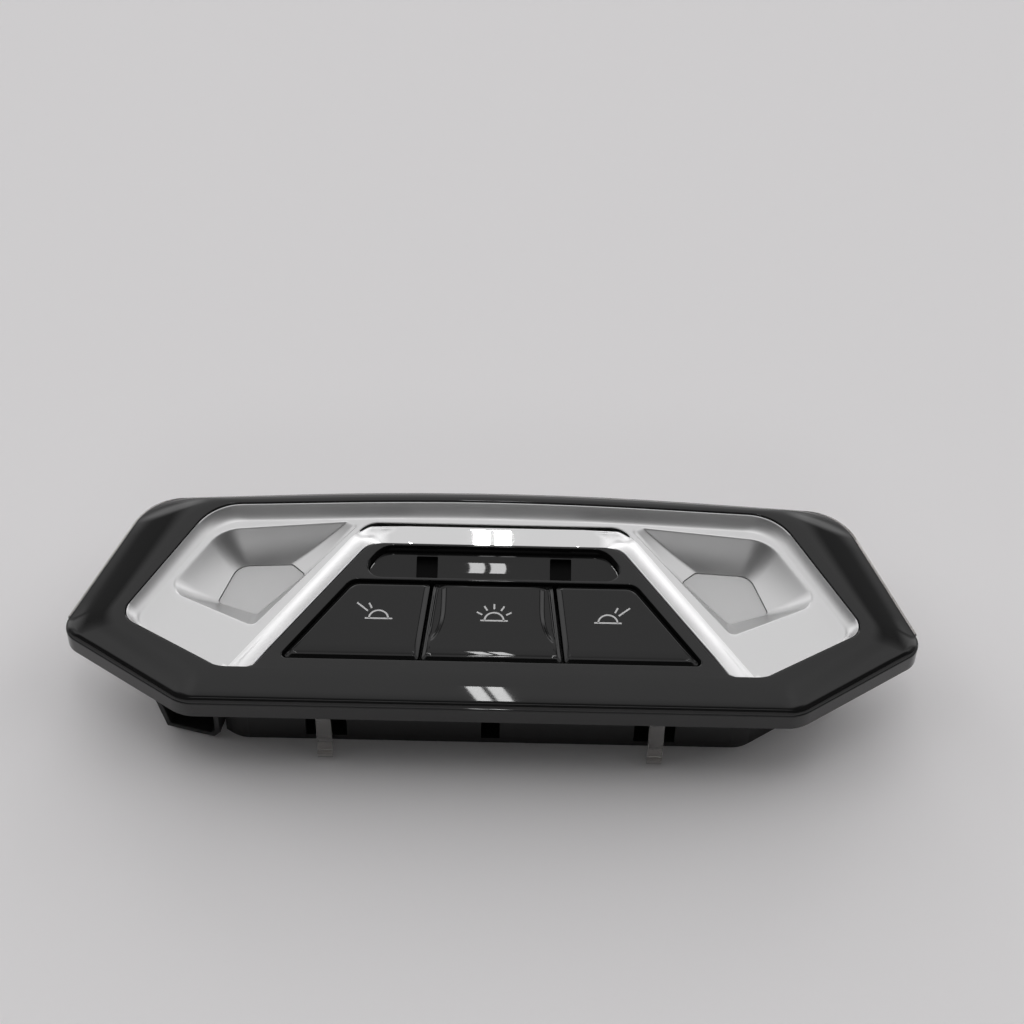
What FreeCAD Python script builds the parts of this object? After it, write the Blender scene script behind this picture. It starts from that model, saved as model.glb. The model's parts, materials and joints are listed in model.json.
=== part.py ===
import FreeCAD, Part
import Sketcher
import math
import os
from collections import namedtuple
from types import SimpleNamespace

# Interior reading light, in millimetres: X to the right, Y away from the reader, Z up.
# The lamp lies face up on its rear housing, as in the photo.

os.makedirs("parts", exist_ok=True)
doc = FreeCAD.newDocument("reading_light")

SIZES = (
    # Outer outline of the frame: how far each edge stands from the middle, and its angle.
    ("front_reach", 32.25, "front edge"),
    ("lower_reach", 66.96, "front side edge"),
    ("lower_angle", 57.0, "front side edge, its normal below the X axis"),
    ("upper_reach", 88.77, "rear side edge"),
    ("upper_angle", 25.0, "rear side edge, its normal above the X axis"),
    ("back_reach", 32.68, "each half of the bowed back edge"),
    ("back_angle", 86.5, "each half of the back edge, its normal above the X axis"),
    ("front_round", 10.0, "front corner radius"),
    ("tip_round", 5.0, "tip radius"),
    ("back_round", 14.0, "back corner radius"),
    ("bow_round", 800.0, "radius of the bow of the back edges"),
    # Heights of the frame, measured down from its face.
    ("crown_height", 31.0, "face of the frame"),
    ("face_rise", 3.0, "rise of the face from the outer edge"),
    ("face_bend_drop", 1.0, "bend of the rounded face, below the face"),
    ("face_bend_share", 0.4, "place of that bend between edge and crown"),
    ("edge_break", 0.6, "bevel of the outer edge"),
    ("skirt_depth", 5.5, "depth of the skirt"),
    ("skirt_wall", 2.2, "wall of the frame skirt"),
    ("panel_wall", 2.7, "thickness of the face"),
    ("flange_thick", 1.7, "reflector flange between face and light guide"),
    ("split_rise", 4.96, "the skirt is cut away from here on, behind the tips"),
    # Window of the frame round the silver parts.
    ("panel_top", 13.45, "back edge of the button panel"),
    ("panel_side", 32.48, "side edge of the button panel"),
    ("panel_angle", 35.6, "side edge of the button panel, its normal"),
    ("window_front", 23.25, "front edge of the window"),
    ("window_lower", 52.58, "front side edge of the window"),
    ("window_lower_angle", 60.3, "front side edge, its normal below the X axis"),
    ("window_upper", 71.9, "rear side edge of the window"),
    ("window_upper_angle", 31.2, "rear side edge, its normal above the X axis"),
    ("window_back", 27.34, "each half of the back edge of the window"),
    ("window_back_angle", 87.4, "each half of the back edge, its normal"),
    ("panel_round", 7.0, "back corners of the button panel"),
    ("foot_round", 3.0, "inner front corners of the window"),
    ("window_front_round", 10.0, "outer front corners of the window"),
    ("window_tip_round", 4.0, "tips of the window"),
    ("window_back_round", 13.0, "back corners of the window"),
    ("lip_width", 0.5, "flat lip round the window"),
    # Button field and slot.
    ("well_front", 20.55, "front edge of the button field"),
    ("well_side", 29.48, "side edge of the button field"),
    ("well_top", 2.55, "back edge of the button field"),
    ("well_low_round", 1.2, "front corners of the button field"),
    ("well_top_round", 4.0, "back corners of the button field"),
    ("slot_front", 3.35, "front edge of the slot"),
    ("slot_side", 29.7, "side edge of the slot"),
    ("slot_back", 12.75, "back edge of the slot"),
    ("slot_low_round", 1.5, "front corners of the slot"),
    ("slot_top_round", 6.0, "back corners of the slot"),
    # Buttons.
    ("button_play", 0.45, "gap between a button and the field"),
    ("divider_reach", 14.92, "line between two buttons"),
    ("divider_angle", 6.0, "its normal"),
    ("divider_half_gap", 0.35, "half the gap between two buttons"),
    ("button_skirt", 5.5, "height of a button with its skirt"),
    ("button_bevel", 1.2, "width of a button's bevel"),
    ("button_front_bevel", 2.4, "width of its bevel at the front"),
    ("button_bevel_drop", 0.9, "height of that bevel"),
    ("button_wall", 1.4, "wall of a button skirt"),
    ("button_roof", 2.0, "thickness of a button's top"),
    ("button_round", 0.8, "small button corners"),
    ("button_top_round", 3.5, "outer back corner of a side button"),
    ("stem_radius", 2.4, "stem of a button"),
    ("stem_x", 31.0, "place of the side stems"),
    ("stem_y", -9.5, "place of all stems"),
    ("stem_play", 0.35, "gap round a stem in the carrier"),
    ("press_travel", 0.8, "travel of a button"),
    ("scoop_depth", 0.7, "hollows beside the pad of the middle button"),
    ("scoop_slope", 0.9, "run of the pad's sloped sides"),
    ("scoop_back_x", 11.6, "pad at the back"),
    ("scoop_bend_x", 11.9, "pad where it starts to widen"),
    ("scoop_bend_y", -8.5, "pad where it starts to widen"),
    ("scoop_tip_x", 14.3, "front end of a hollow"),
    ("scoop_tip_y", -15.2, "front end of a hollow"),
    # Silver parts.
    ("fit_play", 0.15, "gap of a part set into another"),
    ("flange_over", 1.5, "flange under the frame"),
    ("flange_under_panel", 1.0, "flange under the sides of the button panel"),
    ("rim_drop", 0.3, "reflector rim below the face"),
    ("rim_wall", 0.5, "width of the reflector rim"),
    ("land_step", 0.1, "flat of the reflector above its flange"),
    ("land_inset", 3.4, "run of the rim's inner slope"),
    ("land_inset_front", 1.3, "run of that slope along the front side edges"),
    ("land_open", 1.5, "run of the rim's hollow past its open front"),
    ("land_round", 2.5, "front corners of the silver field"),
    ("trim_side", 5.8, "foot of the arch at the sides"),
    ("trim_side_top", 3.4, "top of the arch at the sides"),
    ("trim_back", 5.4, "foot of the arch at the back"),
    ("trim_back_top", 4.9, "top of the arch at the back"),
    ("trim_proud", 0.05, "arch above the face"),
    ("trim_round", 6.0, "outer corners of the arch"),
    ("trim_foot_round", 1.0, "feet of the arch"),
    ("bar_half", 26.0, "half length of the sloped bar at the back of the arch"),
    ("bar_fall", 0.9, "fall of that bar to its front edge"),
    ("bar_crest", 0.6, "level crest of that bar"),
    ("channel_front", 21.75, "front edge of the reflector behind the arch"),
    ("channel_half", 29.0, "half length of the slot behind the arch"),
    ("bowl_depth", 6.4, "depth of the bowls down to the lens windows"),
    ("bowl_wall", 1.6, "wall of the bowls"),
    ("bowl_shell_drop", 0.8, "top of a bowl's shell inside the flange"),
    ("rim_tip_x", 79.2, "outer corner of the bowl rim"),
    ("rim_tip_y", 0.03, "outer corner of the bowl rim"),
    ("rim_tip_round", 4.0, "radius of that corner"),
    ("rim_back_x", 67.4, "back corner of the bowl rim"),
    ("rim_back_y", 18.15, "back corner of the bowl rim"),
    ("rim_back_round", 10.0, "radius of that corner"),
    ("rim_apex_x", 36.5, "inner back corner of the bowl rim"),
    ("rim_apex_y", 21.3, "inner back corner of the bowl rim"),
    ("rim_apex_round", 1.2, "radius of that corner"),
    ("rim_inner_x", 33.9, "inner corner of the bowl rim"),
    ("rim_inner_y", 20.2, "inner corner of the bowl rim"),
    ("rim_inner_round", 0.8, "radius of that corner"),
    ("rim_front_x", 57.55, "front corner of the bowl rim"),
    ("rim_front_y", -10.04, "front corner of the bowl rim"),
    ("rim_front_round", 2.0, "radius of that corner"),
    ("lens_tip_x", 67.4, "outer corner of the lens window"),
    ("lens_tip_y", 0.75, "outer corner of the lens window"),
    ("lens_tip_round", 1.2, "radius of that corner"),
    ("lens_back_x", 63.0, "back corner of the lens window"),
    ("lens_back_y", 12.0, "back corner of the lens window"),
    ("lens_back_round", 4.5, "radius of that corner"),
    ("lens_apex_x", 49.6, "inner back corner of the lens window"),
    ("lens_apex_y", 12.75, "inner back corner of the lens window"),
    ("lens_apex_round", 1.5, "radius of that corner"),
    ("lens_inner_x", 46.2, "inner corner of the lens window"),
    ("lens_inner_y", 9.7, "inner corner of the lens window"),
    ("lens_inner_round", 0.8, "radius of that corner"),
    ("lens_front_x", 57.6, "front corner of the lens window"),
    ("lens_front_y", -2.75, "front corner of the lens window"),
    ("lens_front_round", 1.8, "radius of that corner"),
    ("lens_play", 0.12, "gap round the lens"),
    ("lens_flange", 1.4, "flange of the lens"),
    ("lens_plug", 1.4, "depth of the lens in its window"),
    ("lens_flange_thick", 1.6, "thickness of the lens flange"),
    # Slot strip and its windows.
    ("strip_thick", 2.3, "thickness of the slot strip"),
    ("strip_hollow", 1.3, "depth of the hollow across the slot strip, before rounding"),
    ("strip_low", 2.2, "lowest line of that hollow, behind the strip's front edge"),
    ("strip_hollow_round", 4.0, "radius of that hollow"),
    ("strip_front_over", 0.4, "strip under the front of the slot"),
    ("strip_side_over", 1.2, "strip under the ends of the slot"),
    ("strip_back_over", 0.65, "strip under the back of the slot"),
    ("port_x", 16.3, "place of the ambient windows"),
    ("port_y", 8.8, "place of the ambient windows"),
    ("port_width", 5.2, "width of an ambient window"),
    ("port_depth", 5.6, "depth of an ambient window"),
    ("port_thick", 1.0, "thickness of an ambient window"),
    # Light guide.
    ("guide_thick", 3.9, "thickness of the light guide"),
    ("guide_lip", 1.0, "how far it stands out at the back and sides"),
    ("guide_inset", 2.5, "its outer face inside the front skirt"),
    ("guide_inner", 5.2, "its inner face"),
    ("guide_inner_back", 2.2, "its inner face at the back"),
    ("hook_x", 40.0, "place of the hooks"),
    ("hook_width", 3.7, "width of a hook"),
    ("hook_thick", 1.5, "thickness of a hook"),
    ("hook_bottom", 0.9, "lower end of a hook"),
    ("barb_height", 4.4, "ledge of the hook's barb"),
    ("barb_depth", 1.2, "depth of the barb"),
    # Rear housing and board.
    ("tub_front", 24.0, "front wall of the housing"),
    ("tub_lower", 53.5, "front side wall of the housing"),
    ("tub_upper", 75.0, "rear side wall of the housing"),
    ("tub_back_gap", 3.1, "back wall of the housing, inside the frame"),
    ("tub_front_round", 8.0, "front corners of the housing"),
    ("tub_tip_round", 5.0, "tips of the housing"),
    ("tub_back_round", 8.0, "back corners of the housing"),
    ("tub_wall", 2.0, "walls of the housing"),
    ("tub_floor", 2.0, "floor of the housing"),
    ("tub_notch", 10.0, "width of the openings at the hooks"),
    ("tub_notch_top", 17.0, "height of those openings"),
    ("tub_slit", 4.5, "width of the middle opening"),
    ("board_bottom", 9.0, "under side of the circuit board"),
    ("board_thick", 1.6, "thickness of the circuit board"),
    ("board_play", 0.4, "gap round the circuit board"),
    ("screw_out_x", 72.0, "place of the outer screws"),
    ("screw_out_y", -5.0, "place of the outer screws"),
    ("screw_in_x", 26.0, "place of the inner screws"),
    ("screw_in_y", 16.4, "place of the inner screws"),
    ("boss_radius", 2.6, "screw bosses of the reflector"),
    ("tower_wall", 0.8, "screw towers of the housing, round the sunk heads"),
    ("screw_radius", 1.25, "shank of a screw"),
    ("screw_head", 2.3, "head radius of a screw"),
    ("screw_head_thick", 1.6, "head of a screw"),
    ("screw_sink", 2.0, "depth of the sunk screw seats"),
    ("screw_bite", 7.4, "length of a screw above the board"),
    ("screw_spare", 1.0, "depth of the hole past the screw"),
    ("screw_play", 0.3, "gap round a screw"),
    # Carrier of the buttons.
    ("carrier_drop", 4.0, "under side of the carrier below the slot strip"),
    ("carrier_thick", 1.6, "thickness of the carrier"),
    ("carrier_front", 21.0, "front edge of the carrier"),
    ("carrier_side", 33.0, "side edge of the carrier"),
    ("carrier_back", 13.6, "back edge of the carrier"),
    ("carrier_round", 2.0, "corners of the carrier"),
    ("post_radius", 2.0, "posts of the carrier"),
    ("post_back_x", 24.0, "place of the back posts"),
    ("post_back_y", 10.5, "place of the back posts"),
    ("post_front_x", 45.0, "place of the front posts"),
    ("post_front_y", -18.0, "place of the front posts"),
    ("tunnel_wall", 1.4, "walls of the light tunnels"),
    ("tunnel_step", 0.5, "ledge under an ambient window"),
    # Switches and lamps on the board.
    ("switch_size", 6.2, "width of a switch"),
    ("switch_height", 3.6, "height of a switch"),
    ("plunger_radius", 1.7, "plunger of a switch"),
    ("plunger_length", 3.0, "length of a plunger"),
    ("plunger_proud", 1.2, "plunger above the switch"),
    ("plunger_play", 0.3, "gap round a plunger"),
    ("led_size", 3.4, "width of a reading lamp chip"),
    ("led_thick", 0.9, "body of a reading lamp chip"),
    ("led_dome", 1.3, "radius of its light spot"),
    ("led_dome_thick", 0.3, "height of its light spot"),
    ("optic_x", 57.2, "place of the collimators"),
    ("optic_y", 5.2, "place of the collimators"),
    ("optic_led_gap", 0.6, "collimator above the light spot"),
    ("optic_lens_gap", 0.4, "collimator below the lens"),
    ("optic_small", 3.0, "small end of the cone"),
    ("optic_large", 6.4, "large end of the cone"),
    ("optic_flange", 8.0, "flange of a collimator"),
    ("optic_flange_thick", 1.0, "thickness of that flange"),
    ("optic_leg", 0.9, "legs of a collimator"),
    ("optic_leg_ring", 6.9, "circle of the legs"),
    ("chip_length", 1.6, "length of a small lamp chip"),
    ("chip_width", 0.8, "width of a small lamp chip"),
    ("chip_thick", 0.7, "thickness of a small lamp chip"),
    ("chip_offset", 5.0, "small lamp chips behind the stems"),
    # Socket of the cable.
    ("socket_x", -72.6, "middle of the socket's mouth"),
    ("socket_y", -23.4, "middle of the socket's mouth"),
    ("socket_turn", -13.8, "turn of the socket"),
    ("socket_half", 6.9, "half width of the socket"),
    ("socket_flare", 2.9, "how far its left wall leans out"),
    ("socket_bottom", 1.0, "under side of the socket"),
    ("socket_top", 15.0, "top of the socket"),
    ("socket_cut", 1.7, "cut corner, across"),
    ("socket_cut_rise", 2.6, "cut corner, up"),
    ("socket_depth", 10.0, "depth of the socket"),
    ("socket_wall", 1.4, "walls of the socket"),
    ("pin_size", 0.7, "thickness of a pin"),
    ("pin_pitch", 2.6, "pitch of the pins"),
    ("pin_height", 7.3, "height of the pins"),
    ("pin_start", 3.0, "tip of a pin, from the mouth"),
    ("pin_end", 12.0, "bend of a pin, from the mouth"),
    # Spring clips.
    ("clip_along", -29.5, "place along the rear side wall"),
    ("clip_width", 12.0, "width of a clip"),
    ("clip_thick", 0.6, "sheet of a clip"),
    ("clip_bottom", 3.0, "lower bend of a clip"),
    ("clip_top", 18.0, "upper end of the wall leg"),
    ("clip_gap", 1.6, "inner width of the bend"),
    ("clip_bend", 0.35, "inner radius of the lower bends"),
    ("clip_crest", 1.6, "inner radius of the tongue's bend"),
    ("clip_bulge", 4.2, "reach of the spring tongue"),
    ("clip_bulge_height", 11.0, "height of that reach"),
    ("clip_tip", 2.2, "end of the tongue, from the wall"),
    ("clip_end", 16.0, "height of the tongue's end"),
)

sheet = doc.addObject("Spreadsheet::Sheet", "Sizes")
for row, (alias, number, note) in enumerate(SIZES, 1):
    sheet.set("A%d" % row, note)
    sheet.set("B%d" % row, str(number))
    sheet.setAlias("B%d" % row, alias)
doc.recompute()


class Size:
    """A number together with the sheet expression that gives it."""

    def __init__(self, value, text):
        self.value = value
        self.text = text

    def __add__(self, other):
        other = as_size(other)
        return Size(self.value + other.value, "(%s + %s)" % (self.text, other.text))

    def __sub__(self, other):
        other = as_size(other)
        return Size(self.value - other.value, "(%s - %s)" % (self.text, other.text))

    def __mul__(self, other):
        other = as_size(other)
        return Size(self.value * other.value, "(%s * %s)" % (self.text, other.text))

    def __truediv__(self, other):
        other = as_size(other)
        return Size(self.value / other.value, "(%s / %s)" % (self.text, other.text))

    def __radd__(self, other):
        return as_size(other) + self

    def __rsub__(self, other):
        return as_size(other) - self

    def __rmul__(self, other):
        return as_size(other) * self

    def __neg__(self):
        return Size(-self.value, "(0 - %s)" % self.text)


def as_size(item):
    return item if isinstance(item, Size) else Size(float(item), "%.6f" % item)


size = SimpleNamespace(
    **{alias: Size(float(sheet.get(alias)), "Sizes." + alias) for alias, _, _ in SIZES}
)
# Heights worked out from the face down, and from the board up.
size.edge_height = size.crown_height - size.face_rise
size.skirt_bottom = size.edge_height - size.skirt_depth
size.panel_under = size.crown_height - size.panel_wall
size.flange_bottom = size.panel_under - size.flange_thick
size.guide_bottom = size.flange_bottom - size.guide_thick
size.trim_height = size.crown_height + size.trim_proud
size.reflector_top = size.crown_height - size.rim_drop
size.land_height = size.panel_under + size.land_step
size.bowl_floor = size.land_height - size.bowl_depth
size.bowl_under = size.bowl_floor - size.lens_plug
size.lens_bottom = size.bowl_under - size.lens_flange_thick
size.button_bottom = size.crown_height - size.button_skirt
size.strip_bottom = size.panel_under - size.strip_thick
size.carrier_bottom = size.strip_bottom - size.carrier_drop
size.board_top = size.board_bottom + size.board_thick
size.screw_reach = size.board_top + size.screw_bite
size.switch_top = size.board_top + size.switch_height
size.plunger_top = size.switch_top + size.plunger_proud
size.plunger_bottom = size.plunger_top - size.plunger_length
size.led_top = size.board_top + size.led_thick
size.optic_bottom = size.led_top + size.led_dome_thick + size.optic_led_gap
size.optic_top = size.lens_bottom - size.optic_lens_gap - size.optic_flange_thick


def turned(angle):
    """Cosine and sine of an angle in degrees, bound to the sheet."""
    turn = math.radians(angle.value)
    return (
        Size(math.cos(turn), "cos(%s * 1 deg)" % angle.text),
        Size(math.sin(turn), "sin(%s * 1 deg)" % angle.text),
    )


# The tips are where the front and the rear side edges meet.
lower_cos, lower_sin = turned(size.lower_angle)
upper_cos, upper_sin = turned(size.upper_angle)
tip_across = lower_sin * upper_cos + lower_cos * upper_sin
tip_y = (size.upper_reach * lower_cos - size.lower_reach * upper_cos) / tip_across
size.skirt_split = tip_y + size.split_rise


def bind(item, prop, value):
    item.setExpression(prop, as_size(value).text)


# An edge of an outline: the angle of its outward normal, its distance from the middle
# along that normal, and the radius of the corner where the edge ends.
Edge = namedtuple("Edge", "normal reach round")
# A corner of an outline, given by its place.
Corner = namedtuple("Corner", "x y round")


def edge(normal, reach, rounding=0):
    return Edge(as_size(normal), as_size(reach), as_size(rounding))


def both_sides(front, right, back=None):
    """Full outline from the front edge, the right hand edges and a back edge."""
    rounds = [front.round] + [item.round for item in right]
    left = [
        Edge(180 - item.normal, item.reach, rounds[place])
        for place, item in enumerate(right)
    ]
    middle = [back._replace(round=rounds[-1])] if back else []
    return [front] + right + middle + left[::-1]


def shifted(edges, amounts):
    """Moves every edge outwards, by one amount or by one amount for each edge."""
    if not isinstance(amounts, (list, tuple)):
        amounts = [amounts] * len(edges)
    return [
        item._replace(reach=item.reach + amount) for item, amount in zip(edges, amounts)
    ]


def between(first, second, share):
    """An outline part of the way from one outline to another one with as many edges."""
    return [
        Edge(*(low + (high - low) * share for low, high in zip(one, other)))
        for one, other in zip(first, second)
    ]


def mirrored(corners):
    return [item._replace(x=-item.x) for item in corners[::-1]]


def grown(corners, amount):
    """Moves each edge of a corner outline outwards by an amount."""
    flat = [(item.x.value, item.y.value) for item in corners]
    count = len(flat)
    result = []
    for place, item in enumerate(corners):
        normals = []
        for first in (place - 1, place):
            ax, ay = flat[first % count]
            bx, by = flat[(first + 1) % count]
            length = math.hypot(bx - ax, by - ay)
            normals.append(((by - ay) / length, (ax - bx) / length))
        (ax, ay), (bx, by) = normals
        share = 1 + ax * bx + ay * by
        result.append(
            item._replace(
                x=item.x + amount * ((ax + bx) / share),
                y=item.y + amount * ((ay + by) / share),
            )
        )
    return result


def edge_corners(edges):
    """Places where each edge meets the edge before it."""
    places = []
    for number, item in enumerate(edges):
        before = edges[number - 1]
        first = math.radians(before.normal.value)
        second = math.radians(item.normal.value)
        cross = math.sin(second - first)
        places.append(
            FreeCAD.Vector(
                (before.reach.value * math.sin(second) - item.reach.value * math.sin(first))
                / cross,
                (item.reach.value * math.cos(first) - before.reach.value * math.cos(second))
                / cross,
                0,
            )
        )
    return places


def draw(sketch, outline):
    """Draws a closed outline of edges or of corners, bound to the sheet."""
    by_edges = isinstance(outline[0], Edge)
    count = len(outline)
    if by_edges:
        places = edge_corners(outline)
        rounds = [outline[number - 1].round for number in range(count)]
    else:
        places = [FreeCAD.Vector(item.x.value, item.y.value, 0) for item in outline]
        rounds = [item.round for item in outline]
    starts, ends, arcs = [], [], {}
    for number, place in enumerate(places):
        before = (places[number - 1] - place).normalize()
        after = (places[(number + 1) % count] - place).normalize()
        radius = rounds[number].value
        if radius <= 0:
            ends.append(place)
            starts.append(place)
            continue
        half = before.getAngle(after) / 2
        run = radius / math.tan(half)
        ends.append(place + before * run)
        starts.append(place + after * run)
        middle = place + (before + after).normalize() * (radius / math.sin(half))
        left_turn = before.x * after.y - before.y * after.x < 0
        first, last = (ends[-1], starts[-1]) if left_turn else (starts[-1], ends[-1])
        begin = math.atan2(first.y - middle.y, first.x - middle.x)
        finish = math.atan2(last.y - middle.y, last.x - middle.x)
        if finish < begin:
            finish += 2 * math.pi
        circle = Part.Circle(middle, FreeCAD.Vector(0, 0, 1), radius)
        arcs[number] = (Part.ArcOfCircle(circle, begin, finish), left_turn)
    base = sketch.GeometryCount
    for number in range(count):
        sketch.addGeometry(Part.LineSegment(starts[number], ends[(number + 1) % count]))
    rules, bound = [], []

    def rule(*parts, by=None):
        rules.append(Sketcher.Constraint(*parts))
        if by is not None:
            bound.append((len(rules) - 1, by))

    for number, item in enumerate(outline):
        line = base + number
        before = base + (number - 1) % count
        if number in arcs:
            arc, left_turn = arcs[number]
            index = sketch.addGeometry(arc)
            enter, leave = (1, 2) if left_turn else (2, 1)
            rule("Tangent", before, 2, index, enter)
            rule("Tangent", index, leave, line, 1)
            rule("Radius", index, rounds[number].value, by=rounds[number])
        else:
            rule("Coincident", before, 2, line, 1)
        if by_edges:
            heading = item.normal + 90
            if heading.value > 180:
                heading = heading - 360
            rule("Angle", line, math.radians(heading.value), by=heading)
            reach = item.reach if item.reach.value > 0 else -item.reach
            rule("Distance", -1, 1, line, reach.value, by=reach)
            continue
        if number in arcs:
            holder = sketch.addGeometry(Part.Point(places[number]), True)
            rule("PointOnObject", holder, 1, line)
            rule("PointOnObject", holder, 1, before)
        else:
            holder = line
        rule("DistanceX", -1, 1, holder, 1, item.x.value, by=item.x)
        rule("DistanceY", -1, 1, holder, 1, item.y.value, by=item.y)
    first_rule = sketch.ConstraintCount
    sketch.addConstraint(rules)
    for index, value in bound:
        bind(sketch, "Constraints[%d]" % (first_rule + index), value)


class Solid:
    """A PartDesign body of one node, with short names for its features."""

    def __init__(self, name):
        self.body = doc.addObject("PartDesign::Body", name)
        self.body.Label = name
        self.name = name
        self.count = 0

    def fresh(self, word):
        self.count += 1
        return "%s_%s_%d" % (self.name, word, self.count)

    def sketch(self, height, outlines=(), circles=(), plane="XY_Plane"):
        item = self.body.newObject("Sketcher::SketchObject", self.fresh("sketch"))
        support = [f for f in self.body.Origin.OriginFeatures if f.Role == plane][0]
        item.AttachmentSupport = [(support, "")]
        item.MapMode = "FlatFace"
        bind(item, ".AttachmentOffset.Base.z", height)
        for outline in outlines:
            draw(item, outline)
        for x, y, radius in circles:
            place = FreeCAD.Vector(as_size(x).value, as_size(y).value, 0)
            up = FreeCAD.Vector(0, 0, 1)
            index = item.addGeometry(Part.Circle(place, up, as_size(radius).value))
            first = item.ConstraintCount
            item.addConstraint(
                [
                    Sketcher.Constraint("Radius", index, as_size(radius).value),
                    Sketcher.Constraint("DistanceX", -1, 1, index, 3, place.x),
                    Sketcher.Constraint("DistanceY", -1, 1, index, 3, place.y),
                ]
            )
            for step, value in enumerate((radius, x, y)):
                bind(item, "Constraints[%d]" % (first + step), value)
        return item

    def feature(self, kind, profile, length, upward):
        item = self.body.newObject("PartDesign::" + kind, self.fresh(kind.lower()))
        item.Profile = profile
        bind(item, "Length", length)
        item.Reversed = upward if kind == "Pocket" else not upward
        profile.Visibility = False
        return item

    def pad(self, bottom, top, outlines=(), circles=()):
        profile = self.sketch(bottom, outlines, circles)
        return self.feature("Pad", profile, as_size(top) - bottom, True)

    def pocket(self, bottom, top, outlines=(), circles=()):
        profile = self.sketch(bottom, outlines, circles)
        return self.feature("Pocket", profile, as_size(top) - bottom, True)

    def loft(self, sections, cut=False):
        profiles = [self.sketch(height, [outline]) for height, outline in sections]
        kind = "SubtractiveLoft" if cut else "AdditiveLoft"
        item = self.body.newObject("PartDesign::" + kind, self.fresh("loft"))
        item.Profile = profiles[0]
        item.Sections = profiles[1:]
        item.Ruled = True
        item.Closed = False
        return item


def rectangle(x, y, width, depth):
    """Corners of a rectangle round a middle."""
    x, y = as_size(x), as_size(y)
    across, along = as_size(width) * 0.5, as_size(depth) * 0.5
    none = as_size(0)
    return [
        Corner(x - across, y - along, none),
        Corner(x + across, y - along, none),
        Corner(x + across, y + along, none),
        Corner(x - across, y + along, none),
    ]


SIDES = (("left", -1), ("right", 1))

# Outlines that several parts share.
OUTER = both_sides(
    edge(-90, size.front_reach, size.front_round),
    [
        edge(-size.lower_angle, size.lower_reach, size.tip_round),
        edge(size.upper_angle, size.upper_reach, size.back_round),
        edge(size.back_angle, size.back_reach, size.bow_round),
    ],
)
WINDOW = both_sides(
    edge(-90, -size.panel_top, size.panel_round),
    [
        edge(size.panel_angle - 180, -size.panel_side, size.foot_round),
        edge(-90, size.window_front, size.window_front_round),
        edge(-size.window_lower_angle, size.window_lower, size.window_tip_round),
        edge(size.window_upper_angle, size.window_upper, size.window_back_round),
        edge(size.window_back_angle, size.window_back, size.bow_round),
    ],
)


def window_shift(outer, top, side):
    """The window with its outer edges, panel back edge and panel sides moved."""
    return shifted(WINDOW, [top, side] + [outer] * 8 + [side])


CROWN = both_sides(
    edge(-90, size.window_front + size.lip_width, size.front_round),
    [
        edge(-size.window_lower_angle, size.window_lower + size.lip_width, size.window_tip_round),
        edge(size.window_upper_angle, size.window_upper + size.lip_width, size.window_back_round),
        edge(size.window_back_angle, size.window_back + size.lip_width, size.bow_round),
    ],
)
WELL = both_sides(
    edge(-90, size.well_front, size.well_low_round),
    [edge(size.panel_angle, size.well_side, size.well_top_round)],
    edge(90, size.well_top),
)
SLOT = both_sides(
    edge(-90, -size.slot_front, size.slot_low_round),
    [edge(size.panel_angle, size.slot_side, size.slot_top_round)],
    edge(90, size.slot_back),
)
TUB = both_sides(
    edge(-90, size.tub_front, size.tub_front_round),
    [
        edge(-size.lower_angle, size.tub_lower, size.tub_tip_round),
        edge(size.upper_angle, size.tub_upper, size.tub_back_round),
        edge(size.back_angle, size.back_reach - size.tub_back_gap, size.bow_round),
    ],
)
RIM = [
    Corner(size.rim_tip_x, size.rim_tip_y, size.rim_tip_round),
    Corner(size.rim_back_x, size.rim_back_y, size.rim_back_round),
    Corner(size.rim_apex_x, size.rim_apex_y, size.rim_apex_round),
    Corner(size.rim_inner_x, size.rim_inner_y, size.rim_inner_round),
    Corner(size.rim_front_x, size.rim_front_y, size.rim_front_round),
]
LENS = [
    Corner(size.lens_tip_x, size.lens_tip_y, size.lens_tip_round),
    Corner(size.lens_back_x, size.lens_back_y, size.lens_back_round),
    Corner(size.lens_apex_x, size.lens_apex_y, size.lens_apex_round),
    Corner(size.lens_inner_x, size.lens_inner_y, size.lens_inner_round),
    Corner(size.lens_front_x, size.lens_front_y, size.lens_front_round),
]
SCREWS = [
    (size.screw_out_x * sign, size.screw_out_y) for sign in (-1, 1)
] + [(size.screw_in_x * sign, size.screw_in_y) for sign in (-1, 1)]
NODES = {}


def keep(solid):
    NODES[solid.name] = solid.body
    doc.recompute()


# Frame: skirt, broken edge, face in two slopes, then the hollows and the openings.
bezel = Solid("bezel")
inner_edge = shifted(OUTER, -size.edge_break)
bezel.pad(size.skirt_bottom, size.edge_height - size.edge_break, [OUTER])
bezel.loft(((size.edge_height - size.edge_break, OUTER), (size.edge_height, inner_edge)))
face_bend = between(inner_edge, CROWN, size.face_bend_share)
bend_height = size.crown_height - size.face_bend_drop
bezel.loft(((size.edge_height, inner_edge), (bend_height, face_bend)))
bezel.loft(((bend_height, face_bend), (size.crown_height, CROWN)))
bezel.pocket(size.skirt_bottom, size.flange_bottom, [shifted(OUTER, -size.skirt_wall)])
bezel.pocket(size.flange_bottom, size.panel_under, [shifted(CROWN, size.flange_over)])
span = (size.upper_reach + size.lower_reach) * 2
reach = (size.front_reach + size.back_reach) * 2
bezel.pocket(
    size.skirt_bottom,
    size.flange_bottom,
    [rectangle(0, size.skirt_split + reach * 0.5, span, reach)],
)
bezel.pocket(size.panel_under, size.crown_height, [WINDOW])
bezel.pocket(size.panel_under, size.crown_height, [WELL])
bezel.pocket(size.panel_under, size.crown_height, [SLOT])
keep(bezel)

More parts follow.
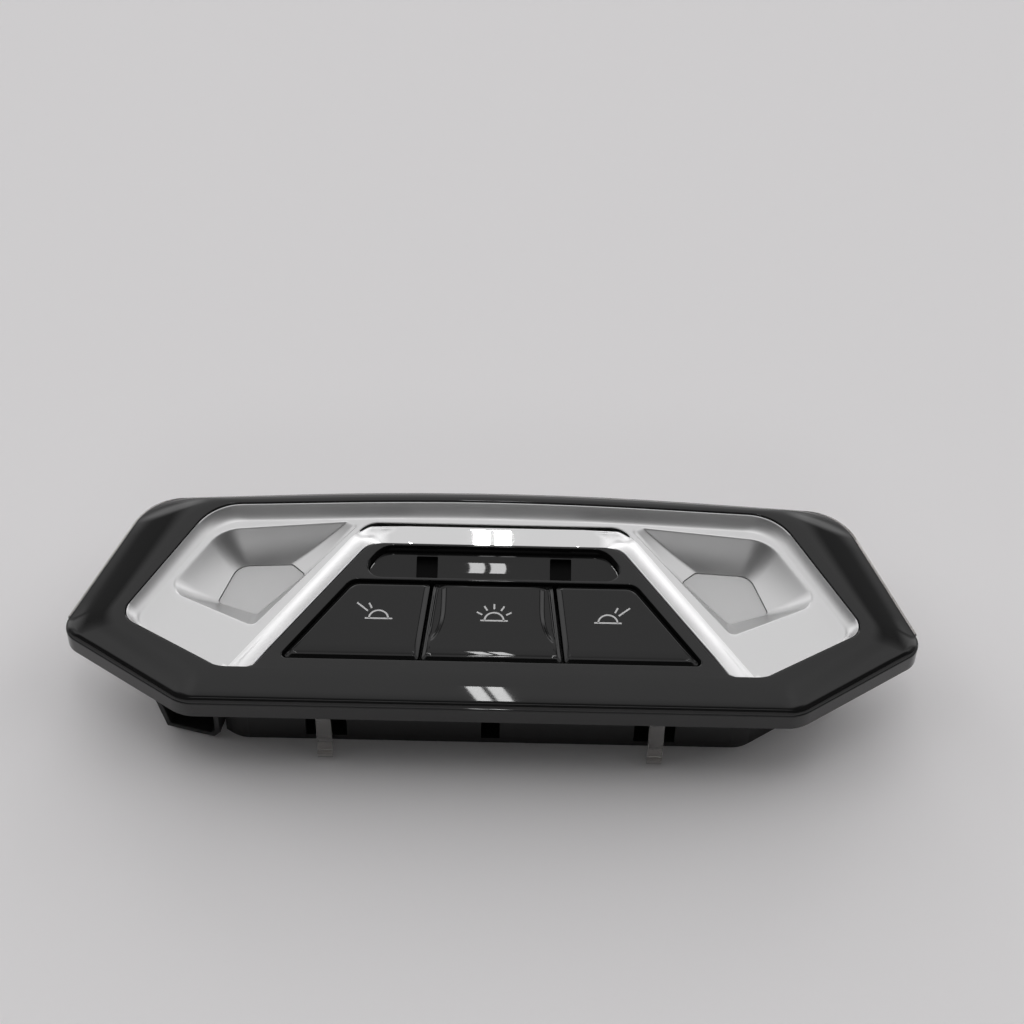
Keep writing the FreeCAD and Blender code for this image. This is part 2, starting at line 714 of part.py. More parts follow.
# Light guide: a clear ring with hooks, proud of the frame at the back and the sides.
guide = Solid("light_guide")
guide_front = shifted(OUTER, -size.guide_inset)
guide.pad(size.guide_bottom, size.flange_bottom, [shifted(OUTER, size.guide_lip)])
cut_line = size.skirt_split + size.fit_play
guide.pocket(
    size.guide_bottom,
    size.flange_bottom,
    [rectangle(0, cut_line - reach * 0.5, span, reach)],
)
guide.pad(size.guide_bottom, size.flange_bottom, [guide_front])
inner = -size.guide_inner
inner_back = -size.guide_inner_back
guide.pocket(
    size.guide_bottom,
    size.flange_bottom,
    [shifted(OUTER, [inner, inner, inner, inner_back, inner_back, inner, inner])],
)
hook_front = size.guide_inset - size.front_reach
none = as_size(0)
for sign in (-1, 1):
    guide.pad(
        size.hook_bottom,
        size.guide_bottom,
        [
            rectangle(
                size.hook_x * sign,
                hook_front + size.hook_thick * 0.5,
                size.hook_width,
                size.hook_thick,
            )
        ],
    )
    # The barb is a wedge: a triangle in the plane across the lamp, drawn along the hook.
    wedge = [
        Corner(hook_front, size.hook_bottom, none),
        Corner(hook_front, size.barb_height, none),
        Corner(hook_front - size.barb_depth, size.barb_height, none),
    ]
    profile = guide.sketch(size.hook_x * sign, [wedge], plane="YZ_Plane")
    barb = guide.feature("Pad", profile, size.hook_width, True)
    barb.Midplane = True
keep(guide)

# Reflector: flange, rim and land, then the two bowls and the screw bosses.
reflector = Solid("reflector")
reflector.pad(
    size.flange_bottom,
    size.panel_under,
    [window_shift(size.flange_over, -2 * size.fit_play, size.flange_under_panel)],
)


def land_outline(inset, front, lower_inset=None):
    """The silver field behind the arch, set in from the window, with its open front moved."""
    lower_inset = inset if lower_inset is None else lower_inset
    return both_sides(
        edge(-90, front - size.channel_front, size.trim_round),
        [
            edge(
                size.panel_angle - 180,
                front - size.panel_side - size.trim_side - size.fit_play,
                size.land_round,
            ),
            edge(-size.window_lower_angle, size.window_lower - lower_inset, size.window_tip_round),
            edge(size.window_upper_angle, size.window_upper - inset, size.window_back_round),
            edge(size.window_back_angle, size.window_back - inset, size.bow_round),
        ],
    )


def shell_outline(corners):
    """The outside of a bowl: its outline with the wall added and sharp corners."""
    return [item._replace(round=none) for item in grown(corners, size.bowl_wall)]


reflector.pad(size.panel_under, size.reflector_top, [land_outline(size.fit_play, 0)])
reflector.loft(
    (
        (size.reflector_top, land_outline(size.fit_play + size.rim_wall, size.land_open)),
        (
            size.land_height,
            land_outline(size.land_inset, size.land_open, size.land_inset_front),
        ),
    ),
    cut=True,
)
for side, sign in SIDES:
    rim = RIM if sign > 0 else mirrored(RIM)
    hole = LENS if sign > 0 else mirrored(LENS)
    reflector.loft(
        (
            (size.panel_under - size.bowl_shell_drop, shell_outline(rim)),
            (size.bowl_under, shell_outline(hole)),
        )
    )
for x, y in SCREWS:
    reflector.pad(size.board_top, size.flange_bottom, circles=[(x, y, size.boss_radius)])
for side, sign in SIDES:
    rim = RIM if sign > 0 else mirrored(RIM)
    hole = LENS if sign > 0 else mirrored(LENS)
    reflector.loft(((size.land_height, rim), (size.bowl_floor, hole)), cut=True)
    reflector.pocket(size.bowl_under, size.bowl_floor, [hole])
reflector.pocket(
    size.board_top,
    size.screw_reach + size.screw_spare,
    circles=[(x, y, size.screw_radius) for x, y in SCREWS],
)
gap_front = size.panel_top + size.trim_back + 2 * size.fit_play
gap_depth = size.channel_front - gap_front
reflector.pocket(
    size.flange_bottom,
    size.panel_under,
    [
        rectangle(
            0,
            gap_front + gap_depth * 0.5,
            size.channel_half * 2,
            gap_depth - size.fit_play,
        )
    ],
)
keep(reflector)

# Arch round the button panel, standing on the reflector flange.
arch = Solid("arch_trim")


def arch_outline(side, back):
    play = size.fit_play
    return both_sides(
        edge(-90, -size.panel_top - play, size.panel_round),
        [
            edge(size.panel_angle - 180, -size.panel_side - play, size.foot_round),
            edge(-90, size.window_front - play, size.trim_foot_round),
            edge(size.panel_angle, size.panel_side + side, size.trim_round),
        ],
        edge(90, size.panel_top + back),
    )


arch.loft(
    (
        (size.panel_under, arch_outline(size.trim_side, size.trim_back)),
        (size.trim_height, arch_outline(size.trim_side_top, size.trim_back_top)),
    )
)
# The bar falls from a level crest at its back to its front edge.
crest = size.panel_top + size.trim_back_top - size.bar_crest
slope = [
    Corner(size.panel_top, size.trim_height - size.bar_fall, none),
    Corner(crest, size.trim_height, none),
    Corner(size.panel_top, size.trim_height + size.bar_fall, none),
]
slope_sketch = arch.sketch(0, [slope], plane="YZ_Plane")
slope_cut = arch.feature("Pocket", slope_sketch, size.bar_half * 2, True)
slope_cut.Midplane = True
keep(arch)

# Lenses: a plug in the bowl's window with a flange behind it.
for side, sign in SIDES:
    hole = LENS if sign > 0 else mirrored(LENS)
    lens = Solid("reading_lens_" + side)
    lens.pad(size.lens_bottom, size.bowl_under, [grown(hole, size.lens_flange)])
    lens.pad(size.bowl_under, size.bowl_floor, [grown(hole, -size.lens_play)])
    keep(lens)

# Buttons: bevelled caps with a skirt and a stem down to the switch.
button_front = edge(-90, size.well_front - size.button_play, size.button_round)
button_back = edge(90, size.well_top - size.button_play, size.button_round)
middle_reach = size.divider_reach - size.divider_half_gap
side_reach = size.divider_reach + size.divider_half_gap
BUTTONS = {
    "center": [
        button_front,
        edge(size.divider_angle, middle_reach, size.button_round),
        button_back,
        edge(180 - size.divider_angle, middle_reach, size.button_round),
    ],
    "right": [
        button_front,
        edge(size.panel_angle, size.well_side - size.button_play, size.button_top_round),
        button_back,
        edge(180 + size.divider_angle, -side_reach, size.button_round),
    ],
    "left": [
        button_front,
        edge(-size.divider_angle, -side_reach, size.button_round),
        button_back._replace(round=size.button_top_round),
        edge(180 - size.panel_angle, size.well_side - size.button_play, size.button_round),
    ],
}
STEMS = {"left": -size.stem_x, "center": as_size(0), "right": size.stem_x}
# A hollow beside the pad of the middle button, open to the back and to the outside.
scoop_out = size.divider_reach + size.scoop_slope
SCOOP = [
    Corner(size.scoop_back_x, size.well_top, none),
    Corner(size.scoop_bend_x, size.scoop_bend_y, none),
    Corner(size.scoop_tip_x, size.scoop_tip_y, none),
    Corner(scoop_out + size.scoop_slope, size.scoop_tip_y, none),
    Corner(scoop_out + size.scoop_slope, size.well_top, none),
]


def narrowed(scoop):
    """The floor of a hollow: its pad side moved out by the run of the slope."""
    sign = 1 if scoop[0].x.value > 0 else -1
    pad = {size.scoop_back_x.value, size.scoop_bend_x.value, size.scoop_tip_x.value}
    return [
        item._replace(x=item.x + size.scoop_slope * sign) if abs(item.x.value) in pad else item
        for item in scoop
    ]


for side, outline in BUTTONS.items():
    button = Solid("button_" + side)
    bevel_bottom = size.crown_height - size.button_bevel_drop
    button.pad(size.button_bottom, bevel_bottom, [outline])
    button.loft(
        (
            (bevel_bottom, outline),
            (
                size.crown_height,
                shifted(outline, [-size.button_front_bevel] + [-size.button_bevel] * 3),
            ),
        )
    )
    if side == "center":
        for scoop in (SCOOP, mirrored(SCOOP)):
            button.loft(
                (
                    (size.crown_height, scoop),
                    (size.crown_height - size.scoop_depth, narrowed(scoop)),
                ),
                cut=True,
            )
    under = size.crown_height - size.button_roof
    button.pocket(size.button_bottom, under, [shifted(outline, -size.button_wall)])
    button.pad(
        size.plunger_top,
        under,
        circles=[(STEMS[side], size.stem_y, size.stem_radius)],
    )
    keep(button)

# Strip in the slot, with its two windows.
strip = Solid("slot_strip")
strip_outline = shifted(
    SLOT,
    [size.strip_front_over, size.strip_side_over, size.strip_back_over, size.strip_side_over],
)
ports = [
    rectangle(size.port_x * sign, size.port_y, size.port_width, size.port_depth)
    for sign in (-1, 1)
]
strip.pad(size.strip_bottom, size.panel_under, [strip_outline])
strip_front = size.slot_front - size.strip_front_over
strip_back = size.slot_back + size.strip_back_over
hollow = [
    Corner(strip_front, size.panel_under, none),
    Corner(
        strip_front + size.strip_low,
        size.panel_under - size.strip_hollow,
        size.strip_hollow_round,
    ),
    Corner(strip_back, size.panel_under, none),
]
hollow_sketch = strip.sketch(0, [hollow], plane="YZ_Plane")
hollow_cut = strip.feature("Pocket", hollow_sketch, span, True)
hollow_cut.Midplane = True
strip.pocket(size.strip_bottom, size.panel_under, ports)
keep(strip)
for side, sign in SIDES:
    port = Solid("ambient_window_" + side)
    port.pad(
        size.strip_bottom,
        size.strip_bottom + size.port_thick,
        [
            rectangle(
                size.port_x * sign,
                size.port_y,
                size.port_width - size.fit_play,
                size.port_depth - size.fit_play,
            )
        ],
    )
    keep(port)

# Carrier: a plate that guides the stems, on four posts, with two light tunnels.
carrier = Solid("button_carrier")
carrier_top = size.carrier_bottom + size.carrier_thick
carrier.pad(
    size.carrier_bottom,
    carrier_top,
    [
        both_sides(
            edge(-90, size.carrier_front, size.carrier_round),
            [edge(size.panel_angle, size.carrier_side, size.carrier_round)],
            edge(90, size.carrier_back),
        )
    ],
)
POSTS = [
    (x * sign, y)
    for x, y in (
        (size.post_back_x, size.post_back_y),
        (size.post_front_x, size.post_front_y),
    )
    for sign in (-1, 1)
]
tunnel_wide = size.port_width + 2 * size.tunnel_wall
tunnel_deep = size.port_depth + size.tunnel_wall
for sign in (-1, 1):
    x = size.port_x * sign
    carrier.pad(
        carrier_top,
        size.strip_bottom,
        [rectangle(x, size.port_y, tunnel_wide, tunnel_deep)],
    )
for x, y in POSTS:
    carrier.pad(size.board_top, size.carrier_bottom, circles=[(x, y, size.post_radius)])
carrier.pocket(
    size.carrier_bottom,
    size.strip_bottom,
    [
        rectangle(
            size.port_x * sign,
            size.port_y,
            size.port_width - 2 * size.tunnel_step,
            size.port_depth - 2 * size.tunnel_step,
        )
        for sign in (-1, 1)
    ],
)
carrier.pocket(
    size.carrier_bottom,
    carrier_top,
    circles=[(x, size.stem_y, size.stem_radius + size.stem_play) for x in STEMS.values()],
)
keep(carrier)

# Socket of the cable, turned to the front side wall.
socket_cos, socket_sin = turned(size.socket_turn)


def socket_place(across, deep):
    """A point given across the socket's mouth and into its depth."""
    across, deep = as_size(across), as_size(deep)
    return (
        size.socket_x + across * socket_cos - deep * socket_sin,
        size.socket_y + across * socket_sin + deep * socket_cos,
    )


def socket_floor(clear):
    """Footprint of the socket with room round it."""
    left = -size.socket_half - size.socket_flare - clear
    right = size.socket_half + clear
    deep = size.socket_depth + clear
    front = -size.socket_depth
    spots = ((left, front), (right, front), (right, deep), (left, deep))
    return [Corner(*socket_place(*spot), none) for spot in spots]


shroud = Solid("connector_shroud")
half, flare = size.socket_half, size.socket_flare
low, high = size.socket_bottom, size.socket_top
mouth = [
    Corner(-half, low, none),
    Corner(half - size.socket_cut, low, none),
    Corner(half, low + size.socket_cut_rise, none),
    Corner(half, high, none),
    Corner(-half - flare, high, none),
]
body_sketch = shroud.sketch(0, [mouth], plane="XZ_Plane")
shroud.feature("Pad", body_sketch, size.socket_depth, False)
hollow_sketch = shroud.sketch(0, [grown(mouth, -size.socket_wall)], plane="XZ_Plane")
shroud.feature("Pocket", hollow_sketch, size.socket_depth - size.socket_wall, False)
PINS = [size.pin_pitch * step for step in (-1.5, -0.5, 0.5, 1.5)]
pin_middle = size.pin_height + size.pin_size * 0.5
hole_sketch = shroud.sketch(
    0, [rectangle(x, pin_middle, size.pin_size, size.pin_size) for x in PINS], plane="XZ_Plane"
)
shroud.feature("Pocket", hole_sketch, size.socket_depth, False)
pins = Solid("connector_pins")
leg_height = size.board_bottom - size.pin_height
for x in PINS:
    for start, middle, height in (
        (size.pin_start, pin_middle, size.pin_size),
        (size.pin_end - size.pin_size, size.pin_height + leg_height * 0.5, leg_height),
    ):
        row = pins.sketch(-start, [rectangle(x, middle, size.pin_size, height)], plane="XZ_Plane")
        pins.feature("Pad", row, size.pin_end - start, False)
for solid in (shroud, pins):
    bind(solid.body, "Placement.Base.x", size.socket_x)
    bind(solid.body, "Placement.Base.y", size.socket_y)
    bind(solid.body, "Placement.Rotation.Angle", size.socket_turn)
    keep(solid)

# Rear housing: a tub with towers, openings at the hooks and the socket.
tub = Solid("rear_housing")
tub.pad(0, size.flange_bottom, [TUB])
tub.pocket(size.tub_floor, size.flange_bottom, [shifted(TUB, -size.tub_wall)])
sunk_head = size.screw_head + size.screw_play
for x, y in SCREWS:
    tub.pad(size.tub_floor, size.board_bottom, circles=[(x, y, sunk_head + size.tower_wall)])
tub.pocket(0, size.screw_sink, circles=[(x, y, sunk_head) for x, y in SCREWS])
tub.pocket(
    size.screw_sink,
    size.board_bottom,
    circles=[(x, y, size.screw_radius + size.screw_play) for x, y in SCREWS],
)
tub.pocket(
    size.tub_floor,
    size.tub_notch_top,
    [
        rectangle(size.hook_x * sign, -size.tub_front, size.tub_notch, size.tub_wall * 3)
        for sign in (-1, 1)
    ]
    + [rectangle(0, -size.tub_front, size.tub_slit, size.tub_wall * 3)],
)
tub.pocket(0, size.socket_top + 2 * size.fit_play, [socket_floor(2 * size.fit_play)])
keep(tub)

# Circuit board with its screw holes and a corner cut away for the socket.
board = Solid("circuit_board")
board.pad(
    size.board_bottom,
    size.board_top,
    [shifted(TUB, -size.tub_wall - size.board_play)],
)
board.pocket(
    size.board_bottom,
    size.board_top,
    circles=[(x, y, size.screw_radius + size.screw_play) for x, y in SCREWS],
)
board.pocket(size.board_bottom, size.board_top, [socket_floor(size.board_play)])
keep(board)

# Switches and their plungers.
for side, x in STEMS.items():
    switch = Solid("switch_" + side)
    switch.pad(
        size.board_top, size.switch_top, [rectangle(x, size.stem_y, size.switch_size, size.switch_size)]
    )
    well_bottom = size.plunger_bottom - size.press_travel - size.plunger_play
    switch.pocket(
        well_bottom,
        size.switch_top,
        circles=[(x, size.stem_y, size.plunger_radius + size.plunger_play)],
    )
    keep(switch)
    plunger = Solid("plunger_" + side)
    plunger.pad(
        size.plunger_bottom,
        size.plunger_top,
        circles=[(x, size.stem_y, size.plunger_radius)],
    )
    keep(plunger)

# Reading lamps: a chip with a light spot, and a collimator on legs above it.
for side, sign in SIDES:
    x = size.optic_x * sign
    led = Solid("reading_led_" + side)
    led.pad(size.board_top, size.led_top, [rectangle(x, size.optic_y, size.led_size, size.led_size)])
    led.pad(
        size.led_top,
        size.led_top + size.led_dome_thick,
        circles=[(x, size.optic_y, size.led_dome)],
    )
    keep(led)
    optic = Solid("collimator_" + side)
    turning = [
        Corner(none, size.optic_bottom, none),
        Corner(size.optic_small, size.optic_bottom, none),
        Corner(size.optic_large, size.optic_top, none),
        Corner(size.optic_flange, size.optic_top, none),
        Corner(size.optic_flange, size.optic_top + size.optic_flange_thick, none),
        Corner(none, size.optic_top + size.optic_flange_thick, none),
    ]
    profile = optic.sketch(0, [turning], plane="XZ_Plane")
    cone = optic.body.newObject("PartDesign::Revolution", optic.fresh("revolution"))
    cone.Profile = profile
    cone.ReferenceAxis = (profile, ["V_Axis"])
    for step in range(3):
        turn = math.radians(90 + 120 * step)
        optic.pad(
            size.board_top,
            size.optic_top,
            circles=[
                (
                    size.optic_leg_ring * math.cos(turn),
                    size.optic_leg_ring * math.sin(turn),
                    size.optic_leg,
                )
            ],
        )
    bind(optic.body, "Placement.Base.x", x)
    bind(optic.body, "Placement.Base.y", size.optic_y)
    keep(optic)

# Small lamp chips behind the buttons and under the ambient windows.
chips = {
    "icon_leds": [(x, size.stem_y + size.chip_offset) for x in STEMS.values()],
    "ambient_leds": [(size.port_x * sign, size.port_y) for sign in (-1, 1)],
}
for name, spots in chips.items():
    group = []
    for x, y in spots:
        chip = doc.addObject("Part::Box", name + "_chip")
        bind(chip, "Length", size.chip_length)
        bind(chip, "Width", size.chip_width)
        bind(chip, "Height", size.chip_thick)
        bind(chip, "Placement.Base.x", x - size.chip_length * 0.5)
        bind(chip, "Placement.Base.y", y - size.chip_width * 0.5)
        bind(chip, "Placement.Base.z", size.board_top)
        group.append(chip)
    chip_row = doc.addObject("Part::MultiFuse", name)
    chip_row.Shapes = group
    chip_row.Label = name
    NODES[name] = chip_row

# Screws from below through the housing and the board into the reflector.
pieces = []
for x, y in SCREWS:
    for radius, bottom, top in (
        (size.screw_head, size.screw_sink - size.screw_head_thick, size.screw_sink),
        (size.screw_radius, size.screw_sink, size.screw_reach),
    ):
        part = doc.addObject("Part::Cylinder", "screw_piece")
        bind(part, "Radius", radius)
        bind(part, "Height", top - bottom)
        bind(part, "Placement.Base.x", x)
        bind(part, "Placement.Base.y", y)
        bind(part, "Placement.Base.z", bottom)
        pieces.append(part)
screws = doc.addObject("Part::MultiFuse", "housing_screws")
screws.Shapes = pieces
screws.Label = "housing_screws"
NODES["housing_screws"] = screws

# Spring clips on the rear side walls of the housing.
for side, sign in SIDES:
    clip = Solid("spring_clip_" + side)
    t = size.clip_thick
    bend = size.clip_bottom
    strip_profile = [
        Corner(none, size.clip_top, none),
        Corner(none, bend, size.clip_bend + t),
        Corner(size.clip_gap + t, bend, size.clip_bend + t),
        Corner(size.clip_bulge, size.clip_bulge_height, size.clip_crest + t),
        Corner(size.clip_tip, size.clip_end, none),
        Corner(size.clip_tip - t, size.clip_end, none),
        Corner(size.clip_bulge - t, size.clip_bulge_height, size.clip_crest),
        Corner(size.clip_gap, bend + t, size.clip_bend),
        Corner(t, bend + t, size.clip_bend),
        Corner(t, size.clip_top, none),
    ]
    profile = clip.sketch(0, [strip_profile], plane="XZ_Plane")
    leaf = clip.feature("Pad", profile, size.clip_width, False)
    leaf.Midplane = True
    x = size.tub_upper * upper_cos - size.clip_along * upper_sin
    y = size.tub_upper * upper_sin + size.clip_along * upper_cos
    bind(clip.body, "Placement.Base.x", x * sign)
    bind(clip.body, "Placement.Base.y", y)
    bind(
        clip.body,
        "Placement.Rotation.Angle",
        size.upper_angle if sign > 0 else 180 - size.upper_angle,
    )
    keep(clip)

doc.recompute()
faults = []
for item in doc.Objects:
    if "Invalid" in item.State or "Error" in item.State:
        faults.append("%s is %s" % (item.Name, item.State))
for name, item in NODES.items():
    shape = item.Shape
    if shape.isNull() or not shape.isValid() or shape.Volume <= 0:
        faults.append("%s has no good shape" % name)
if faults:
    raise RuntimeError("; ".join(faults))
for name, item in NODES.items():
    item.Shape.exportStep("parts/%s.step" % name)
    print(name, len(item.Shape.Solids), round(item.Shape.Volume), item.Shape.BoundBox)
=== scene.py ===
import json
import math

import bmesh
import bpy
import numpy as np
from mathutils import Matrix, geometry


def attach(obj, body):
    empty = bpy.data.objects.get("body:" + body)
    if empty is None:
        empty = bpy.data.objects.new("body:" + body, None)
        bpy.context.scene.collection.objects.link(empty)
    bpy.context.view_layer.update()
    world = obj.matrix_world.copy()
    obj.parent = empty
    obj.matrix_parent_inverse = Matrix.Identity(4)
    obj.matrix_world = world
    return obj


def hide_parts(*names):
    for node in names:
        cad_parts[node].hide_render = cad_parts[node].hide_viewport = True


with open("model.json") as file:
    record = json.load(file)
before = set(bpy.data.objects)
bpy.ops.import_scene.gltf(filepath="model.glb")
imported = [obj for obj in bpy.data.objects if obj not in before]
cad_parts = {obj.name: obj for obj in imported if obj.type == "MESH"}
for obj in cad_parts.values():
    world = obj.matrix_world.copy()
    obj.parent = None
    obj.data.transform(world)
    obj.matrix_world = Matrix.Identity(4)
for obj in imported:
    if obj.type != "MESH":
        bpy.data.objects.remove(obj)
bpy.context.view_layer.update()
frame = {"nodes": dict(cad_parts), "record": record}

MM = 0.001

# Outlines, in millimetres. An edge is the angle of its outward normal, its distance from
# the middle along that normal, and the radius of the corner where it ends.


def both_sides(front, right, back=None):
    """A full outline from its front edge, its right hand edges and its back edge.

    The left hand edges are the right hand ones with each normal taken from 180 degrees."""
    rounds = [front[2]] + [item[2] for item in right]
    left = [(180 - item[0], item[1], rounds[place]) for place, item in enumerate(right)]
    middle = [(back[0], back[1], rounds[-1])] if back else []
    return np.array([front, *right, *middle, *left[::-1]], float)


def from_corners(corners):
    """Edges of an outline given by its corners (x, y, radius), with the material on the left."""
    spots = np.array(corners, float)
    ahead = np.roll(spots, -1, 0)
    run = ahead[:, :2] - spots[:, :2]
    normal = np.arctan2(-run[:, 0], run[:, 1])
    reach = np.cos(normal) * spots[:, 0] + np.sin(normal) * spots[:, 1]
    return np.stack([np.degrees(normal), reach, ahead[:, 2]], 1)


def mirrored(edges):
    """The same outline on the other side of the Y axis."""
    rounds = np.roll(edges[:, 2], 1)
    return np.stack([180 - edges[:, 0], edges[:, 1], rounds], 1)[::-1]


# Points on each corner and on each straight run of an outline.
ARC_STEPS, RUN_STEPS = 14, 6


def ring(edges, shift=0.0, height=None):
    """Points along an outline whose edges are moved outwards: for each edge its straight run, then the
    arc of its corner, whose middle lies one radius inside both edges (outside at an inward corner)."""
    normal = np.radians(edges[:, 0])
    reach = edges[:, 1] + shift
    after, reach_after = np.roll(normal, -1), np.roll(reach, -1)
    turn = (after - normal + math.pi) % (2 * math.pi) - math.pi
    side = np.sign(turn) * edges[:, 2]
    here, there = reach - side, reach_after - side
    across = here * np.sin(after) - there * np.sin(normal)
    along = there * np.cos(normal) - here * np.cos(after)
    middle = np.stack([across, along], 1) / np.sin(turn)[:, None]
    angle = normal[:, None] + turn[:, None] * np.linspace(0, 1, ARC_STEPS)
    arcs = np.stack([np.cos(angle), np.sin(angle)], 2) * side[:, None, None] + middle[:, None]
    start = np.roll(arcs[:, -1], 1, 0)[:, None]
    share = (np.arange(1, RUN_STEPS + 1) / (RUN_STEPS + 1))[None, :, None]
    straight = start + (arcs[:, :1] - start) * share
    flat = np.concatenate([straight, arcs], 1).reshape(-1, 2)
    return flat if height is None else lifted(flat, height)


def along_ring(weights):
    """A value at each point of a ring from one value per edge: it stays on the straight run and
    goes evenly to the next edge's value round the corner."""
    here = np.array(weights, float)
    there = np.roll(here, -1)
    runs = np.repeat(here[:, None], RUN_STEPS, 1)
    arcs = here[:, None] + (there - here)[:, None] * np.linspace(0, 1, ARC_STEPS)
    return np.concatenate([runs, arcs], 1).ravel()


def lifted(flat, height):
    """The points of a flat outline at a height."""
    return np.column_stack([flat, np.broadcast_to(height, len(flat))])


def quarter(turns=6):
    """Sine and cosine along a quarter circle, for the profile of a rounded edge."""
    angle = np.linspace(0, math.pi / 2, turns)
    return list(zip(np.sin(angle), np.cos(angle)))


def eased(value):
    """Rises smoothly from 0 to 1 as the value does: 3 v squared less 2 v cubed."""
    value = np.clip(value, 0, 1)
    return value * value * (3 - 2 * value)


# Patches: points with the faces between them.
THIN = 1e-4  # a triangle is thin when twice its area is below this, in square millimetres
SAME_SPOT = 1e-7  # two points of a plate closer than this, in millimetres, are one
GRID_EASE = 0.45  # share of the spacing that a plate's grid keeps from its borders


def skin(rings, closed=True):
    """Quads between rings that follow each other, joined round when closed."""
    grid = np.array(rings)
    rows, count = grid.shape[:2]
    across = np.arange(count if closed else count - 1)
    rise = np.arange(rows - 1)[:, None] * count
    first = (rise + across).ravel()
    second = (rise + (across + 1) % count).ravel()
    return grid.reshape(-1, 3), np.stack([first, second, second + count, first + count], 1)


def cover(points):
    """One flat face over a ring of points."""
    return points, [np.arange(len(points))]


def inside(points, loop):
    """Which points lie inside a closed loop: an odd number of edges crosses the line to the right."""
    ax, ay = loop[:, 0], loop[:, 1]
    bx, by = np.roll(ax, -1), np.roll(ay, -1)
    px, py = points[:, :1], points[:, 1:2]
    spans = (ay > py) != (by > py)
    rise = np.where(by == ay, 1.0, by - ay)
    return ((spans & (px < ax + (py - ay) / rise * (bx - ax))).sum(1) % 2) == 1


def chosen(points, faces, within):
    """Which triangles lie within: by their middle, or for one with next to no area by whether its
    longest edge belongs to a triangle that does."""
    corners = points[faces]
    ahead = np.roll(corners, -1, 1) - corners
    thin = np.abs(ahead[:, 0, 0] * ahead[:, 1, 1] - ahead[:, 0, 1] * ahead[:, 1, 0]) < THIN
    pairs = np.sort(np.stack([faces, np.roll(faces, -1, 1)], 2), 2)
    keys = pairs[..., 0] * len(points) + pairs[..., 1]
    longest = keys[np.arange(len(faces)), np.linalg.norm(ahead, axis=2).argmax(1)]
    kept = within(corners.mean(1)) & ~thin
    for _ in range(RUN_STEPS):
        kept |= thin & np.isin(longest, keys[kept])
    return kept


def plate(outer, holes=(), height=0.0, spacing=None):
    """A face bounded by an outline and open at the holes, at a height or at a height worked out from
    x and y. With a spacing, points of a square grid fill it."""
    loops = [outer, *holes]
    starts = np.cumsum([0] + [len(loop) for loop in loops])
    ties = np.concatenate(
        [
            np.column_stack([np.arange(low, high), np.roll(np.arange(low, high), -1)])
            for low, high in zip(starts[:-1], starts[1:])
        ]
    )
    flat = np.concatenate(loops)

    def within(points, ease=0.0):
        kept = inside(points, outer)
        for hole in holes:
            kept &= ~inside(points, hole)
        if ease:
            gaps = np.linalg.norm(points[:, None] - flat[None], axis=2).min(1)
            kept &= gaps > ease
        return kept

    spots = flat
    if spacing:
        low, high = outer.min(0), outer.max(0)
        lines = [np.arange(a + spacing / 2, b, spacing) for a, b in zip(low, high)]
        grid = np.stack(np.meshgrid(*lines), 2).reshape(-1, 2)
        spots = np.concatenate([flat, grid[within(grid, spacing * GRID_EASE)]])
    found, _, faces, *_ = geometry.delaunay_2d_cdt(spots.tolist(), ties.tolist(), [], 0, SAME_SPOT)
    points, faces = np.array(found), np.array(faces)
    faces = faces[chosen(points, faces, within)]
    level = height(points[:, 0], points[:, 1]) if callable(height) else height
    return lifted(points, level), faces


MERGE, SLIVER = 2e-6, 1e-7  # in metres: corners to merge, and edges too short to keep
SHARP, SILVER_SHARP = 40.0, 50.0  # degrees between faces past which an edge isn't shaded smooth


def piece(name, patches, finish, body="lamp", replaces=(), sharp=SHARP):
    """One mesh from several patches of points and faces, with their shared borders merged."""
    points, faces, base = [], [], 0
    for spots, polygons in patches:
        points.append(np.asarray(spots) * MM)
        faces += (np.asarray(polygons) + base).tolist()
        base += len(spots)
    mesh = bpy.data.meshes.new(name)
    mesh.from_pydata(np.concatenate(points).tolist(), [], faces)
    shell = bmesh.new()
    shell.from_mesh(mesh)
    bmesh.ops.remove_doubles(shell, verts=shell.verts, dist=MERGE)
    bmesh.ops.dissolve_degenerate(shell, edges=shell.edges, dist=SLIVER)
    bmesh.ops.recalc_face_normals(shell, faces=shell.faces)
    shell.to_mesh(mesh)
    shell.free()
    mesh.shade_smooth()
    mesh.set_sharp_from_angle(angle=math.radians(sharp))
    item = bpy.data.objects.new(name, mesh)
    bpy.context.scene.collection.objects.link(item)
    mesh.materials.append(FINISH[finish])
    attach(item, body)
    if replaces:
        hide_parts(*replaces)
    return item


# Shader nodes that several materials and the sky use.


def worked(tree, kind, first, second=None):
    """The result of a math node fed by one or two sockets."""
    node = tree.nodes.new("ShaderNodeMath")
    node.operation = kind
    tree.links.new(first, node.inputs[0])
    if second is not None:
        tree.links.new(second, node.inputs[1])
    return node.outputs["Value"]


def spanned(tree, value, low, high, start=0.0, end=1.0, way="LINEAR"):
    """A value's run from low to high, taken to a run from start to end."""
    span = tree.nodes.new("ShaderNodeMapRange")
    span.interpolation_type = way
    for label, number in zip(("From Min", "From Max", "To Min", "To Max"), (low, high, start, end)):
        span.inputs[label].default_value = number
    tree.links.new(value, span.inputs["Value"])
    return span.outputs["Result"]


def directions(tree, kind):
    """A texture coordinate's three parts, with X counted both ways from the middle."""
    place = tree.nodes.new("ShaderNodeTexCoord")
    parts = tree.nodes.new("ShaderNodeSeparateXYZ")
    tree.links.new(place.outputs[kind], parts.inputs["Vector"])
    across = worked(tree, "ABSOLUTE", parts.outputs["X"])
    return {"X": across, "Y": parts.outputs["Y"], "Z": parts.outputs["Z"]}


